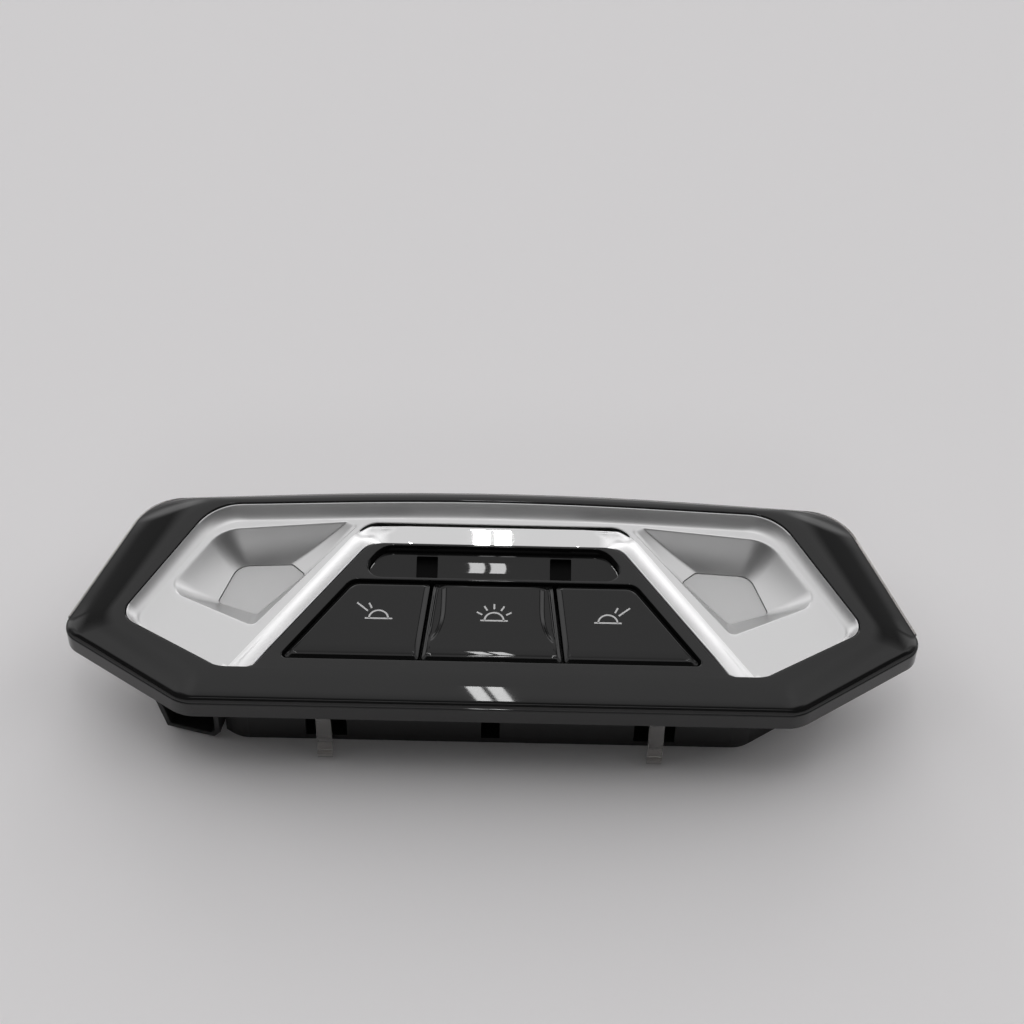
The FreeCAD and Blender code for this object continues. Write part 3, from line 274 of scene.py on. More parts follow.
def group_of(name, inputs, outputs):
    """A shader node group with named number inputs, given with their values, and number outputs."""
    group = bpy.data.node_groups.new(name, "ShaderNodeTree")
    for label, value in inputs:
        socket = group.interface.new_socket(label, in_out="INPUT", socket_type="NodeSocketFloat")
        socket.default_value = value
    for label in outputs:
        group.interface.new_socket(label, in_out="OUTPUT", socket_type="NodeSocketFloat")
    return group, group.nodes.new("NodeGroupInput"), group.nodes.new("NodeGroupOutput")


CLOUD_SCALE, GRAIN_SCALE = 60.0, 2500.0  # turns of the noise to a metre
CLOUD_DETAIL, GRAIN_DETAIL = 3.0, 2.0
CLOUD_LOW, CLOUD_HIGH = 0.3, 0.7  # the cloud's usual lowest and highest value
GRAIN_HEIGHT = 0.00005


def moulded_group():
    """Cloudy tone and fine grain of a moulded or coated skin, both from noise in object space."""
    scales = (("Cloud Scale", CLOUD_SCALE), ("Grain Scale", GRAIN_SCALE))
    group, start, end = group_of("moulded_skin", scales, ("Cloud", "Grain"))
    place = group.nodes.new("ShaderNodeTexCoord")
    for label, detail in (("Cloud", CLOUD_DETAIL), ("Grain", GRAIN_DETAIL)):
        noise = group.nodes.new("ShaderNodeTexNoise")
        noise.inputs["Detail"].default_value = detail
        group.links.new(place.outputs["Object"], noise.inputs["Vector"])
        group.links.new(start.outputs[label + " Scale"], noise.inputs["Scale"])
        group.links.new(noise.outputs["Fac"], end.inputs[label])
    return group


MOULDED = moulded_group()


def coated(name, low, high, rough, cloud=CLOUD_SCALE, grain=GRAIN_SCALE, bump=0.0, **sockets):
    """A material whose tone and gloss drift a little over the surface: the cloud mixes its two tones
    and moves its roughness, and the grain may lift its normal."""
    material = bpy.data.materials.new(name)
    material.use_nodes = True
    tree = material.node_tree
    shader = tree.nodes["Principled BSDF"]
    moulded = tree.nodes.new("ShaderNodeGroup")
    moulded.node_tree = MOULDED
    moulded.inputs["Cloud Scale"].default_value = cloud
    moulded.inputs["Grain Scale"].default_value = grain
    tone = tree.nodes.new("ShaderNodeMix")
    tone.data_type = "RGBA"
    tone.inputs["A"].default_value = (*low, 1)
    tone.inputs["B"].default_value = (*high, 1)
    tree.links.new(moulded.outputs["Cloud"], tone.inputs["Factor"])
    tree.links.new(tone.outputs["Result"], shader.inputs["Base Color"])
    gloss = spanned(tree, moulded.outputs["Cloud"], CLOUD_LOW, CLOUD_HIGH, *rough)
    tree.links.new(gloss, shader.inputs["Roughness"])
    if bump:
        ripple = tree.nodes.new("ShaderNodeBump")
        ripple.inputs["Strength"].default_value = bump
        ripple.inputs["Distance"].default_value = GRAIN_HEIGHT
        tree.links.new(moulded.outputs["Grain"], ripple.inputs["Height"])
        tree.links.new(ripple.outputs["Normal"], shader.inputs["Normal"])
    for label, value in sockets.items():
        shader.inputs[label.replace("_", " ")].default_value = value
    return material


def grey(level, warm=0.0):
    """A grey, with red raised and blue lowered by the share that makes it warm."""
    return (level * (1 + warm), level, level * (1 - warm))


# Finishes: the two tones, the two ends of the roughness, and what else the surface has.
CLEAR = 1.49  # index of clear acrylic
COATS = {
    "black_gloss": (grey(0.010), grey(0.013), (0.012, 0.024), {"Specular_IOR_Level": 0.38}),
    "button_gloss": (grey(0.005), grey(0.007), (0.01, 0.02), {"Specular_IOR_Level": 0.34}),
    "black_matt": (grey(0.005), grey(0.011), (0.45, 0.6), {"bump": 0.3}),
    "clear_plastic": (
        grey(0.92, 0.04), grey(0.95, 0.03), (0.06, 0.1), {"Transmission_Weight": 0.96, "IOR": CLEAR},
    ),
    "clear_lens": (grey(0.9), grey(0.94), (0.1, 0.16), {"Transmission_Weight": 0.3, "IOR": CLEAR}),
    "smoked_plastic": (grey(0.001), grey(0.002), (0.3, 0.4), {"Specular_IOR_Level": 0.05}),
    "satin_silver": (
        grey(0.62), grey(0.67), (0.34, 0.4), {"grain": 6000.0, "bump": 0.1, "Metallic": 1.0},
    ),
    "bright_silver": (grey(0.88), grey(0.93), (0.32, 0.38), {"Metallic": 1.0}),
    "brass": ((0.7, 0.52, 0.24), (0.78, 0.6, 0.3), (0.25, 0.35), {"Metallic": 1.0}),
    "board_green": ((0.012, 0.07, 0.028), (0.018, 0.095, 0.04), (0.35, 0.5), {"bump": 0.2}),
    "lamp_chip": ((0.8, 0.74, 0.42), (0.86, 0.8, 0.5), (0.35, 0.45), {}),
    "plunger_white": (grey(0.6), grey(0.68), (0.4, 0.5), {"bump": 0.1}),
    "steel": (grey(0.5), grey(0.6), (0.28, 0.4), {"Metallic": 1.0, "bump": 0.05}),
    "icon_white": (grey(0.62), grey(0.68), (0.4, 0.5), {}),
    "floor_paper": ((0.94, 0.925, 0.93), (0.96, 0.945, 0.95), (0.7, 0.8), {"cloud": 6.0}),
}
FINISH = {
    name: coated(name, low, high, rough, **more) for name, (low, high, rough, more) in COATS.items()
}
# The polished bar of the arch, in metres: where its polish starts and is full in depth, and how far
# to each side it goes and fades. The bar's darker tone is painted shade for the dimmer sky that it
# mirrors.
BAR_START, BAR_FULL, BAR_ROUGH, BAR_SHADE_TONE = 0.0112, 0.0138, 0.012, 0.62
POLISH_HALF, POLISH_FADE = 0.0255, 0.003


def polish_and_shade_bar(material):
    """The arch is satin along the panel's sides and polished along its back bar, which gets a darker tone
    painted on as shade for its dimmer reflection: the bar's share rises with the place in depth and falls
    towards the bar's two ends."""
    tree = material.node_tree
    shader = tree.nodes["Principled BSDF"]
    axes = directions(tree, "Object")
    depth = spanned(tree, axes["Y"], BAR_START, BAR_FULL)
    ends = spanned(tree, axes["X"], POLISH_HALF + POLISH_FADE, POLISH_HALF)
    share = worked(tree, "MULTIPLY", depth, ends)
    # The bar's Base Color is painted shade: a darker silver that stands in for the dimmer sky the bar
    # mirrors.
    targets = (("Roughness", "FLOAT", BAR_ROUGH), ("Base Color", "RGBA", (*grey(BAR_SHADE_TONE), 1)))
    for label, kind, bar in targets:
        mix = tree.nodes.new("ShaderNodeMix")
        mix.data_type = kind
        sockets = {item.identifier: item for item in mix.inputs}
        word = "Float" if kind == "FLOAT" else "Color"
        tree.links.new(share, sockets["Factor_Float"])
        tree.links.new(shader.inputs[label].links[0].from_socket, sockets[f"A_{word}"])
        sockets[f"B_{word}"].default_value = bar
        result = [item for item in mix.outputs if item.identifier == f"Result_{word}"][0]
        tree.links.new(result, shader.inputs[label])


polish_and_shade_bar(FINISH["bright_silver"])

# Finishes of the solid parts, with softened edges on the mouldings that show from outside.
SOFTENED = ("rear_housing", "connector_shroud", "light_guide")
SOFT_EDGE, SOFT_STEPS, JOINED = 0.00025, 2, 1e-6
for row in frame["record"]["subparts"]:
    node = frame["nodes"][row["node"]]
    node.data.materials.clear()
    node.data.materials.append(FINISH[row["material_slot"]])
    if row["node"] in SOFTENED:
        node.modifiers.new("joined_corners", "WELD").merge_threshold = JOINED
        bevel = node.modifiers.new("soft_edges", "BEVEL")
        bevel.width, bevel.segments, bevel.limit_method = SOFT_EDGE, SOFT_STEPS, "ANGLE"
        bevel.angle_limit = math.radians(SHARP)

# Outlines of the lamp, with the sizes of its solid parts.
BOW = 800.0
OUTER = both_sides((-90, 32.25, 10), [(-57, 66.96, 5), (25, 88.77, 14), (86.5, 32.68, BOW)])
PANEL_TOP, PANEL_SIDE, PANEL_ANGLE = 13.45, 32.48, 35.6
FRONT, LOWER, UPPER, BACK = (-90, 23.25, 10), (-60.3, 52.58, 4), (31.2, 71.9, 13), (87.4, 27.34, BOW)
WINDOW = both_sides(
    (-90, -PANEL_TOP, 7), [(PANEL_ANGLE - 180, -PANEL_SIDE, 3), FRONT, LOWER, UPPER, BACK]
)
CROWN_REACH = 0.5
CROWN = both_sides(FRONT, [LOWER, UPPER, BACK])
CROWN[:, 1] += CROWN_REACH
WELL = both_sides((-90, 20.55, 1.2), [(PANEL_ANGLE, 29.48, 4)], (90, 2.55))
SLOT = both_sides((-90, -3.35, 3.5), [(PANEL_ANGLE, 29.5, 6)], (90, 12.75))
CHANNEL_FRONT, CHANNEL_HALF, TRIM_SIDE, TRIM_BACK, FIT = 21.75, 33.5, 5.8, 5.4, 0.15
ARCH_FOOT = (-90, 23.1, 0.3)
ARCH_INNER = both_sides(ARCH_FOOT, [(PANEL_ANGLE, PANEL_SIDE + FIT, 7)], (90, PANEL_TOP + FIT))
ARCH_OUTER = both_sides(
    ARCH_FOOT, [(PANEL_ANGLE, PANEL_SIDE + TRIM_SIDE, 6)], (90, PANEL_TOP + TRIM_BACK)
)
LAND = both_sides(
    (-90, -CHANNEL_FRONT, 6),
    [(PANEL_ANGLE - 180, -PANEL_SIDE - TRIM_SIDE - FIT, 2.5), LOWER, UPPER, BACK],
)
RIM = from_corners(
    [(79.2, 0.03, 4), (67.4, 18.15, 10), (36.5, 21.3, 1.2), (33.9, 20.2, 0.8), (57.55, -10.04, 2)]
)
LENS = from_corners(
    [(67.4, 0.75, 1.2), (63.0, 12.0, 4.5), (49.6, 12.75, 1.5), (46.2, 9.7, 0.8), (57.6, -2.75, 1.8)]
)
BOWLS = ((RIM, LENS), (mirrored(RIM), mirrored(LENS)))
EDGE_TOP, CROWN_TOP, SKIRT, SEAT, PANEL_UNDER = 28.0, 31.0, 22.5, 26.6, 28.3

# Frame: a profile carried round the outer outline, a flat top, and a wall in each opening.
# FLAT_FACE has 1 for each edge with the flatter front face and 0 for one with the round back face.
SPLIT, FACE_ROLL, FACE_SLOPE, FACE_CROWN, ROLL_SHARE = -7.5, 2.2, 0.4, 1.6, 0.12
SHOULDER, FRAME_WALL, LEDGE, OPENING_ROUND = 0.4, 2.2, 1.5, 0.25
FLAT_FACE = [1, 1, 0, 0, 0, 0, 1]
FACE_ROWS, FACE_CROWDING, CROWN_GRID = 28, 1.7, 1.6


def frame_patches():
    """The outer wall rises to a rounded edge, then the face climbs from the outer outline to the
    crown. At the back it falls from the crown as (1 - t) to the power of roll. At the front it
    falls by a slope and a little crowning, slope * (1 - t) + crowning * (1 - t) squared, and the
    square of the way into the roll is added along the edge."""
    outer = ring(OUTER)
    low = np.where(outer[:, 1] > SPLIT, SEAT, SKIRT)
    rings = [
        ring(CROWN, LEDGE, PANEL_UNDER),
        ring(CROWN, LEDGE, SEAT),
        ring(OUTER, -FRAME_WALL, SEAT),
        ring(OUTER, -FRAME_WALL, low),
        ring(OUTER, 0, low),
        ring(OUTER, 0, np.maximum(low, EDGE_TOP - 2 * SHOULDER)),
    ]
    rings += [ring(OUTER, -SHOULDER * (1 - c), EDGE_TOP - SHOULDER * (1 - s)) for s, c in quarter()]
    edge, crown = ring(OUTER, -SHOULDER), ring(CROWN)
    depth, flat = CROWN_TOP - EDGE_TOP, along_ring(FLAT_FACE)
    for t in np.linspace(0, 1, FACE_ROWS)[1:] ** FACE_CROWDING:
        round_fall = depth * (1 - t) ** FACE_ROLL
        flat_fall = FACE_SLOPE * (1 - t) + FACE_CROWN * (1 - t) ** 2
        flat_fall += (depth - FACE_SLOPE - FACE_CROWN) * max(1 - t / ROLL_SHARE, 0) ** 2
        fall = round_fall + (flat_fall - round_fall) * flat
        rings.append(lifted(edge + (crown - edge) * t, CROWN_TOP - fall))
    openings = (WINDOW, WELL, SLOT)
    patches = [
        skin(rings),
        plate(crown, [ring(item, OPENING_ROUND) for item in openings], CROWN_TOP, CROWN_GRID),
        plate(ring(CROWN, LEDGE), [ring(item) for item in openings], PANEL_UNDER),
    ]
    for item in openings:
        sink = [
            ring(item, OPENING_ROUND * (1 - s), CROWN_TOP - OPENING_ROUND * (1 - c))
            for s, c in quarter()
        ]
        patches.append(skin(sink + [ring(item, 0, PANEL_UNDER)]))
    return patches


piece("frame_shell", frame_patches(), "black_gloss", replaces=["bezel"])

# Silver reflector: a hollow slope inside the rim, a flat field and two bowls. Lists that follow
# the land's or the window's edges have one value for each of them.
REFLECTOR_TOP, LAND_TOP, FLANGE_BOTTOM, BOWL_FLOOR, BOWL_UNDER = 30.7, 28.4, 26.6, 22.0, 20.6
LAND_EDGE = np.array([0, 0, 1, 1, 1, 1, 1, 1, 0], float)
UNDER_ARCH = 0.3
COVE_RUN = np.array([0, 0, 0.7, 3.2, 3.5, 3.5, 3.2, 0.7, 0])
COVE_BEND = [1, 1, 1.25, 1.8, 1.25, 1.25, 1.8, 1.25, 1]
COVE_ROWS, COVE_START, TOP_SLOPE, TOP_DROP, LAND_GRID = 16, 0.14, 0.1, 0.15, 1.2
FLANGE_REACH = np.array([-0.3, 1.0] + [1.5] * 8 + [1.0])
# A bowl's way down from its rim, 0, to its lens, 1: where the lip starts and ends, and the wall starts.
BOWL_WALL, BOWL_HOLLOW, LIP_RUN, LIP_SOFT = 1.6, 0.25, 0.05, 0.05
LIP_END, LIP_ROWS, WALL_START, WALL_ROWS = 0.12, 12, 0.15, 18
SHELL_START = 0.13


def bowl_rings(rim, hole):
    """The bowl falls from the rim outline to the lens outline: the plan is blended by t and the drop
    follows (t + root(t * t + soft * soft)) / 2, which rounds the lip, with a little hollow added."""
    t = np.concatenate([np.linspace(-LIP_RUN, LIP_END, LIP_ROWS), np.linspace(WALL_START, 1, WALL_ROWS)])
    drop = (t + np.sqrt(t * t + LIP_SOFT**2)) / 2
    drop = (drop - drop[0]) / (drop[-1] - drop[0])
    drop += BOWL_HOLLOW * np.clip(t, 0, 1) * (1 - np.clip(t, 0, 1))
    levels = LAND_TOP + (BOWL_FLOOR - LAND_TOP) * drop
    start, end = ring(rim), ring(hole)
    return [lifted(start + (end - start) * part, level) for part, level in zip(t, levels)]


def channel_loop():
    """The dark slot behind the arch: it runs between the arch's back edge and the land's edge, and
    narrows where both bend round the ends of the bar."""
    near, far = ring(ARCH_OUTER, FIT), ring(LAND, UNDER_ARCH + FIT)
    near, far = (
        line[(np.abs(line[:, 0]) < CHANNEL_HALF) & (line[:, 1] > PANEL_TOP)] for line in (near, far)
    )
    far = far[far[:, 1] < CHANNEL_FRONT]
    return np.concatenate([near[np.argsort(near[:, 0])], far[np.argsort(-far[:, 0])]])


def reflector_patches():
    """Rings inside the window fall in a hollow curve, height = land + rise * (1 - t) to the power of
    the bend, with no rise along the open front. The land is a plate between them and the bowls."""
    share, rise = along_ring(LAND_EDGE), REFLECTOR_TOP - LAND_TOP

    def land_ring(inward, under=1.0):
        """The land's outline, moved in at the window and out under the arch."""
        return ring(LAND, -inward * LAND_EDGE + UNDER_ARCH * under * (1 - LAND_EDGE))

    outside = land_ring(FIT)
    rings = [
        lifted(outside, PANEL_UNDER),
        lifted(outside, LAND_TOP + (rise - TOP_DROP) * share),
        lifted(land_ring(FIT + TOP_SLOPE), LAND_TOP + rise * share),
    ]
    for t in np.linspace(0, 1, COVE_ROWS):
        fall = rise * (1 - t) ** along_ring(COVE_BEND)
        flat = land_ring(FIT + COVE_START + COVE_RUN * t, 1 - t)
        rings.append(lifted(flat, LAND_TOP + fall * share))
    flange, gap = ring(WINDOW, FLANGE_REACH), channel_loop()
    bowls = [bowl_rings(rim, hole) for rim, hole in BOWLS]
    patches = [
        skin(rings),
        plate(rings[-1][:, :2], [bowl[0][:, :2] for bowl in bowls], LAND_TOP, LAND_GRID),
        plate(flange, [outside, gap], PANEL_UNDER),
        skin([lifted(flange, PANEL_UNDER), lifted(flange, FLANGE_BOTTOM)]),
        skin([lifted(gap, PANEL_UNDER), lifted(gap, FLANGE_BOTTOM)]),
    ]
    shells = []
    for (rim, hole), bowl in zip(BOWLS, bowls):
        top, low = ring(rim, BOWL_WALL), ring(hole, BOWL_WALL)
        shells.append(top + (low - top) * SHELL_START)
        patches.append(skin(bowl + [ring(hole, 0, BOWL_UNDER), lifted(low, BOWL_UNDER)]))
        patches.append(skin([lifted(shells[-1], FLANGE_BOTTOM), lifted(low, BOWL_UNDER)]))
    patches.append(plate(flange, shells + [gap], FLANGE_BOTTOM))
    return patches


piece(
    "reflector_shell", reflector_patches(), "satin_silver", replaces=["reflector"], sharp=SILVER_SHARP
)

# Bright arch round the button panel. A profile's point has its place across, from 0 at the inner
# outline to 1 at the outer one, and its height. The bar's has its place along the way first.
ARCH_TOP, BAR_FRONT, BAR_HALF, LEG_START, LEG_BEND = 31.05, 29.65, 25.0, 31.5, 1.5
FOOT_START, FOOT_RUN, FOOT_DROP = -18.0, 4.0, 0.4
ARCH_ROWS, LEG_EDGE, LEG_SEAT = 26, 0.05, 0.01
LEG_INNER = [(0, PANEL_UNDER), (0, ARCH_TOP - 0.3), (0.015, ARCH_TOP - 0.1)]
BAR_INNER = [(0, PANEL_UNDER), (0, BAR_FRONT - 0.3), (0.005, BAR_FRONT - 0.2)]
BAR_CREST = ARCH_TOP - 0.02
BAR_PROFILE = np.array(
    [
        (0, 0.02, BAR_FRONT - 0.1), (0.06, 0.06, BAR_FRONT), (0.76, 0.82, BAR_CREST),
        (0.84, 0.89, BAR_CREST), (0.92, 0.95, 30.8), (0.97, 0.985, 30.4), (1, 1, 29.6),
    ]
)


def arch_patches():
    """A cross profile carried along the panel's sides and back, between the inner and the outer
    outline. Along the sides it falls outwards as (1 - way) to the power of the bend, along the back
    it climbs to a crest, and the two blend at the bar's ends. The feet sink a little at the front."""
    per_edge = RUN_STEPS + ARC_STEPS
    stretch = slice(per_edge - 1, 4 * per_edge - ARC_STEPS + 1)
    inner, outer = ring(ARCH_INNER)[stretch], ring(ARCH_OUTER)[stretch]
    back = eased((LEG_START - np.abs(inner[:, 0])) / (LEG_START - BAR_HALF)) * (inner[:, 1] > 0)
    way = np.linspace(0, 1, ARCH_ROWS)
    foot = LAND_TOP + LEG_SEAT
    leg = np.stack(
        [LEG_EDGE + (1 - LEG_EDGE) * way, foot + (ARCH_TOP - foot) * (1 - way) ** LEG_BEND], 1
    )
    knots, across, height = BAR_PROFILE.T
    bar = np.stack([np.interp(way, knots, across), np.interp(way, knots, height)], 1)
    outside = (1, PANEL_UNDER)
    rows = []
    for (w0, z0), (w1, z1) in zip([*LEG_INNER, *leg, outside], [*BAR_INNER, *bar, outside]):
        part = w0 + (w1 - w0) * back
        flat = inner + (outer - inner) * part[:, None]
        level = z0 + (z1 - z0) * back
        sunk = FOOT_DROP * eased((FOOT_START - flat[:, 1]) / FOOT_RUN) * (z0 > LAND_TOP + FOOT_DROP)
        rows.append(lifted(flat, level - sunk))
    grid = np.array(rows)
    return [skin([*rows, rows[0]], closed=False), cover(grid[:, 0]), cover(grid[:, -1])]


piece("bright_arch", arch_patches(), "bright_silver", replaces=["arch_trim"], sharp=SILVER_SHARP)

# Clear lenses in the bowls: a plug with a rounded rim, and a flange behind the bowl.
LENS_GAP, LENS_FLANGE, LENS_BOTTOM = 0.03, 1.4, 19.0
LENS_SUNK, LENS_ROUND, LENS_RISE, LENS_DOME = 0.7, 0.4, 0.5, 0.15
LENS_ROWS, LENS_TIP = 10, 0.02


def lens_patches(hole):
    """A flange, a plug with a rounded rim and a low dome: height = edge + dome * (1 - t * t)."""
    outline = ring(hole, -LENS_GAP)
    middle = outline.mean(0)
    low = BOWL_FLOOR - LENS_SUNK
    rings = [
        ring(hole, LENS_FLANGE, LENS_BOTTOM),
        ring(hole, LENS_FLANGE, BOWL_UNDER),
        lifted(outline, BOWL_UNDER),
        lifted(outline, low),
    ]
    rings += [ring(hole, -LENS_GAP - LENS_ROUND * (1 - c), low + LENS_RISE * s) for s, c in quarter()]
    edge = ring(hole, -LENS_GAP - LENS_ROUND)
    for t in np.linspace(1, LENS_TIP, LENS_ROWS)[1:]:
        rings.append(lifted(middle + (edge - middle) * t, low + LENS_RISE + LENS_DOME * (1 - t * t)))
    return [skin(rings), cover(rings[0]), cover(rings[-1])]


for side, hole in (("right", LENS), ("left", mirrored(LENS))):
    piece(f"lens_{side}", lens_patches(hole), "clear_lens", replaces=[f"reading_lens_{side}"])

# Buttons: bevelled caps with a skirt, and two scoops beside the pad of the middle one. A bevel's point
# has its way in from the outline and its height, and a blend's its share of the cap's own height first.
SIDE_BUTTON = np.array([(-90, 20.1, 0.8), (PANEL_ANGLE, 29.03, 3.5), (90, 2.1, 0.8), (186, -15.27, 0.8)])
BUTTONS = {
    "center": np.array([(-90, 20.1, 0.8), (6, 14.57, 0.8), (90, 2.1, 0.8), (174, 14.57, 0.8)]),
    "right": SIDE_BUTTON,
    "left": mirrored(SIDE_BUTTON),
}
BUTTON_BOTTOM, BUTTON_WALL, BUTTON_HOLLOW = 25.5, 1.4, 3.5
CAP_EDGE, CAP_ROUND, CAP_RISE, CAP_TURNS = 29.95, 0.25, 0.3, 4
BEVEL = [(-0.55, 30.5), (-0.85, 30.72)]
CAP_BLEND = ((0.6, -1.05), (0.88, -1.25), (1.0, -1.5))
CAP_GRID, PAD_GRID = 0.6, 0.3
ROLL_START, ROLL_RUN, ROLL_DROP = -16.9, 2.0, 0.55
PAD_HALF, PAD_GROWTH, PAD_START, PAD_RUN = 11.2, 2.9, -3.0, 12.0
SCOOP_EDGE, SCOOP_DEPTH, SCOOP_END, SCOOP_FADE = 1.3, 0.75, -16.0, 4.0


def side_height(x, y):
    """Flat top that rolls down to the front with the square of the way past the start of the roll."""
    past = np.clip((ROLL_START - y) / ROLL_RUN, 0, None)
    return CROWN_TOP - ROLL_DROP * past * past


def center_height(x, y):
    """The side buttons' top with a scoop at each side of a pad. The pad's half width grows to the
    front with the cube of the way past its start, and the scoop fades out there."""
    pad = PAD_HALF + PAD_GROWTH * np.clip((PAD_START - y) / PAD_RUN, 0, 1) ** 3
    fall = eased((np.abs(x) - pad) / SCOOP_EDGE)
    return side_height(x, y) - SCOOP_DEPTH * fall * eased((y - SCOOP_END) / SCOOP_FADE)


def button_patches(edges, height, spacing):
    """Rings up the skirt and over a rounded bevel, then a cap whose height comes from x and y."""
    profile = [
        (-BUTTON_WALL, BUTTON_BOTTOM + BUTTON_HOLLOW), (-BUTTON_WALL, BUTTON_BOTTOM),
        (0, BUTTON_BOTTOM), (0, CAP_EDGE),
    ]
    profile += [(-CAP_ROUND * (1 - c), CAP_EDGE + CAP_RISE * s) for s, c in quarter(CAP_TURNS)][1:]
    rings = [ring(edges, shift, level) for shift, level in profile + BEVEL]
    start = BEVEL[-1][1]
    for share, shift in CAP_BLEND:
        flat = ring(edges, shift)
        level = height(flat[:, 0], flat[:, 1])
        rings.append(lifted(flat, start + (level - start) * share))
    cap = plate(rings[-1][:, :2], (), height, spacing)
    return [skin(rings), cap, cover(rings[0])]


for side, edges in BUTTONS.items():
    height, spacing = (center_height, PAD_GRID) if side == "center" else (side_height, CAP_GRID)
    piece(
        f"cap_{side}",
        button_patches(edges, height, spacing),
        "button_gloss",
        body=f"{side}_key",
        replaces=[f"button_{side}"],
    )

# Strip in the slot, hollow across, with two window ports.
PORT_X, PORT_Y, PORT_WIDTH, PORT_DEPTH, PORT_ROUND = 16.3, 8.8, 5.2, 5.6, 0.3
STRIP_SHIFT = np.array([0.4, 1.2, 0.65, 1.2])
STRIP_FRONT, STRIP_BACK = -SLOT[0, 1] - STRIP_SHIFT[0], SLOT[2, 1] + STRIP_SHIFT[2]
STRIP_LOW, STRIP_HOLLOW, STRIP_SUNK, STRIP_BOTTOM, STRIP_GRID = 0.15, 1.7, 0.05, 26.0, 0.7


def strip_height(x, y):
    """A hollow across the strip: it drops behind its front edge, then climbs smoothly to its back."""
    across = (y - STRIP_FRONT) / (STRIP_BACK - STRIP_FRONT)
    front = eased(across / STRIP_LOW)
    climb = eased((across - STRIP_LOW) / (1 - STRIP_LOW))
    return PANEL_UNDER - STRIP_SUNK - STRIP_HOLLOW * (front - climb)


def port_loop(x):
    """The rounded outline of a port round its middle, which lies at x."""
    signs = np.array([(-1, -1), (1, -1), (1, 1), (-1, 1)], float)
    corners = signs * (PORT_WIDTH / 2, PORT_DEPTH / 2) + (x, PORT_Y)
    return ring(from_corners(np.column_stack([corners, np.full(len(corners), PORT_ROUND)])))


def strip_patches():
    """A hollow top and a flat underside, both open at the ports, and a wall along each border."""
    outline = ring(SLOT, STRIP_SHIFT)
    ports = [port_loop(PORT_X * sign) for sign in (-1, 1)]
    patches = [
        plate(outline, ports, strip_height, STRIP_GRID),
        plate(outline, ports, STRIP_BOTTOM),
    ]
    for loop in (outline, *ports):
        upper = lifted(loop, strip_height(loop[:, 0], loop[:, 1]))
        patches.append(skin([upper, lifted(loop, STRIP_BOTTOM)]))
    return patches


piece("hollow_strip", strip_patches(), "button_gloss", replaces=["slot_strip"])

# Icons on the buttons: thin strokes, a base line, a half round dome and rays.
STROKE, ICON_Y, ICON_LIFT, DOME, DOME_STEPS, BASE = 0.42, -8.85, 0.02, 2.3, 33, 3.3
RAY_INNER, RAY_OUTER, RAY_TURNS = 3.3, 4.8, (30, 60, 90, 120, 150)
AIMED = np.array([[(2.6, 2.1), (5.3, 4.4)], [(1.7, 2.9), (2.4, 4.4)]])
ICON_LEFT, ICON_CENTER, ICON_RIGHT = -27.3, 0.4, 27.7


def stroke(path):
    """A flat ribbon along a path: the path moved half the width to each side of its direction."""
    path = np.array(path, float)
    heading = np.gradient(path, axis=0)
    heading /= np.linalg.norm(heading, axis=1)[:, None]
    side = np.stack([-heading[:, 1], heading[:, 0]], 1) * STROKE / 2
    top = CROWN_TOP + ICON_LIFT
    return skin([lifted(path - side, top), lifted(path + side, top)], closed=False)


def icon_patches(x, rays):
    """A half circle on a base line, with a straight stroke for each ray."""
    turn = np.linspace(0, math.pi, DOME_STEPS)
    dome = np.stack([x + DOME * np.cos(turn), ICON_Y + DOME * np.sin(turn)], 1)
    base = [(x - BASE, ICON_Y), (x, ICON_Y), (x + BASE, ICON_Y)]
    return [stroke(dome), stroke(base), *[stroke(ray + (x, ICON_Y)) for ray in rays]]


def spread_rays():
    """Rays that fan out over the dome, from an inner to an outer circle."""
    turns = np.radians(RAY_TURNS)
    unit = np.stack([np.cos(turns), np.sin(turns)], 1)
    return np.stack([unit * RAY_INNER, unit * RAY_OUTER], 1)


for side, x, rays in (
    ("left", ICON_LEFT, AIMED * (-1, 1)),
    ("center", ICON_CENTER, spread_rays()),
    ("right", ICON_RIGHT, AIMED),
):
    piece(f"icon_{side}", icon_patches(x, rays), "icon_white", body=f"{side}_key")

# Stage, light and camera, in metres.
FLOOR_HALF = 4.0
floor_mesh = bpy.data.meshes.new("floor")
floor_corners = [(-1, -1), (1, -1), (1, 1), (-1, 1)]
floor_mesh.from_pydata([(x * FLOOR_HALF, y * FLOOR_HALF, 0) for x, y in floor_corners], [], [(0, 1, 2, 3)])
floor = bpy.data.objects.new("floor", floor_mesh)
bpy.context.scene.collection.objects.link(floor)
floor_mesh.materials.append(FINISH["floor_paper"])

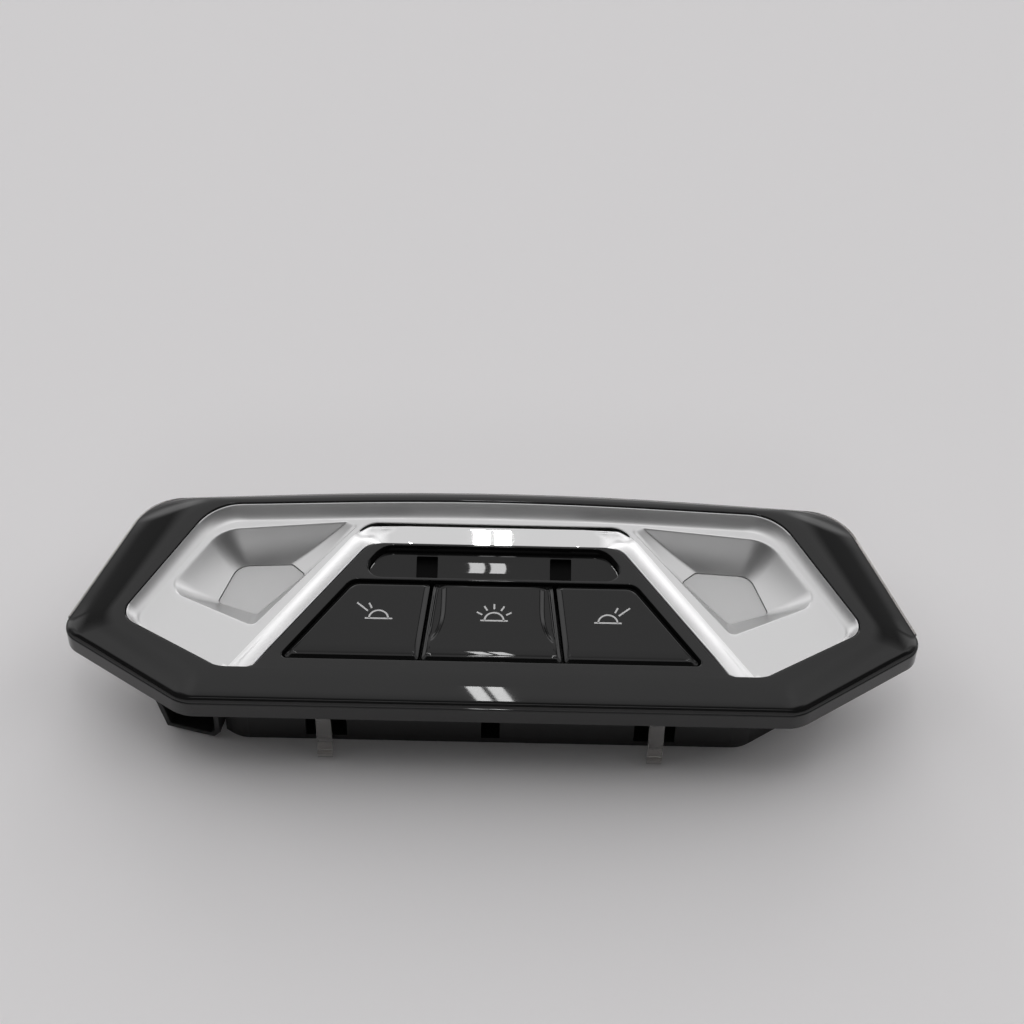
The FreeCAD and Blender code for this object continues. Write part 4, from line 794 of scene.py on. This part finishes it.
# The sky's glows: the middle that grows from the reader's side to the back, two panels overhead at
# the sides, low windows at the back corners, two strips behind the lamp that fade to the horizon, a
# low strip behind the reader and two faint panels in front of the side ones. Each ramp has the axis
# it follows (X counts both ways), where it starts and ends, and its two levels.
SKY_TINT = (1.0, 0.995, 1.0, 1)
SKY = (
    (("Y", -0.42, -0.03, 0.04, 0.98), ("Y", 0.6, 1.0, 1.0, 1.25), ("X", 0.22, 0.36, 1.0, 0.12)),
    (("X", 0.18, 0.38, 0.0, 1.0), ("X", 0.5, 0.8, 1.0, 0.9), ("X", 0.88, 0.98, 1.0, 0.1),
     ("Y", -0.14, 0.04, 0.04, 1.0), ("Y", 0.15, 0.5, 1.0, 0.1)),
    (("X", 0.5, 0.64, 0.0, 1.3), ("Y", 0.28, 0.5, 0.0, 1.0), ("Y", 0.64, 0.74, 1.0, 0.2)),
    (("X", 0.18, 0.3, 0.0, 1.9), ("Y", 0.76, 0.83, 0.0, 1.0), ("Z", 0.1, 0.34, 0.2, 1.0)),
    (("Y", -0.88, -0.7, 1.4, 0.0), ("Z", 0.42, 0.5, 0.0, 1.0), ("X", 0.22, 0.38, 1.0, 0.0)),
    (("X", 0.38, 0.5, 0.0, 0.7), ("X", 0.66, 0.76, 1.0, 0.0), ("Y", -0.32, -0.2, 0.0, 1.0),
     ("Y", -0.1, 0.04, 1.0, 0.0)),
)


def studio_world():
    """The sum of the sky's glows, each of which is the product of its ramps."""
    world = bpy.data.worlds.new("studio")
    world.use_nodes = True
    tree = world.node_tree
    axes = directions(tree, "Generated")
    total = None
    for ramps in SKY:
        glow = None
        for axis, *run in ramps:
            ramp = spanned(tree, axes[axis], *run, way="SMOOTHSTEP")
            glow = ramp if glow is None else worked(tree, "MULTIPLY", glow, ramp)
        total = glow if total is None else worked(tree, "ADD", total, glow)
    shade = tree.nodes["Background"]
    tree.links.new(total, shade.inputs["Strength"])
    shade.inputs["Color"].default_value = SKY_TINT
    bpy.context.scene.world = world


studio_world()

LAMP_X, LAMP_Y, LAMP_HEIGHT, LAMP_SPREAD = -0.009, -0.065, 1.3, 0.0073
LAMP_WIDTH, LAMP_DEPTH, LAMP_POWER, LAMP_TURN = 0.0105, 0.4, 0.24, math.radians(1.2)


def ceiling_lamp(name, x):
    """A narrow lamp that shines straight down."""
    lamp = bpy.data.lights.new(name, "AREA")
    lamp.shape = "RECTANGLE"
    lamp.size, lamp.size_y, lamp.energy = LAMP_WIDTH, LAMP_DEPTH, LAMP_POWER
    item = bpy.data.objects.new(name, lamp)
    bpy.context.scene.collection.objects.link(item)
    item.location = (x, LAMP_Y, LAMP_HEIGHT)
    item.rotation_euler = (0, 0, LAMP_TURN)


for side in (-1, 1):
    ceiling_lamp(f"ceiling_lamp_{side}", LAMP_SPREAD * side + LAMP_X)

# The camera looks at a point, given in millimetres, from a distance in metres.
AZIMUTH, ELEVATION, ROLL = math.radians(0.0374), math.radians(54.0), math.radians(1.1948)
FOCAL, SENSOR = 100, 36
TARGET, DISTANCE = np.array([4.1404, 25.6381, 28.0]), 0.7043


def studio_camera():
    """The camera's back points from the target along the azimuth and elevation, its right lies level,
    its up is square to both, and the roll turns right and up round the back."""
    data = bpy.data.cameras.new("camera")
    data.lens, data.sensor_width = FOCAL, SENSOR
    camera = bpy.data.objects.new("camera", data)
    bpy.context.scene.collection.objects.link(camera)
    level = np.array([math.sin(AZIMUTH), -math.cos(AZIMUTH), 0.0])
    back = level * math.cos(ELEVATION) + (0.0, 0.0, math.sin(ELEVATION))
    right = np.array([math.cos(AZIMUTH), math.sin(AZIMUTH), 0.0])
    up = np.cross(back, right)
    right, up = (
        math.cos(ROLL) * right + math.sin(ROLL) * up,
        math.cos(ROLL) * up - math.sin(ROLL) * right,
    )
    place = TARGET * MM + back * DISTANCE
    turn = np.vstack([np.column_stack([right, up, back, place]), [0, 0, 0, 1]])
    camera.matrix_world = Matrix(turn.tolist())
    bpy.context.scene.camera = camera


studio_camera()
bpy.context.scene.view_settings.view_transform = "Standard"
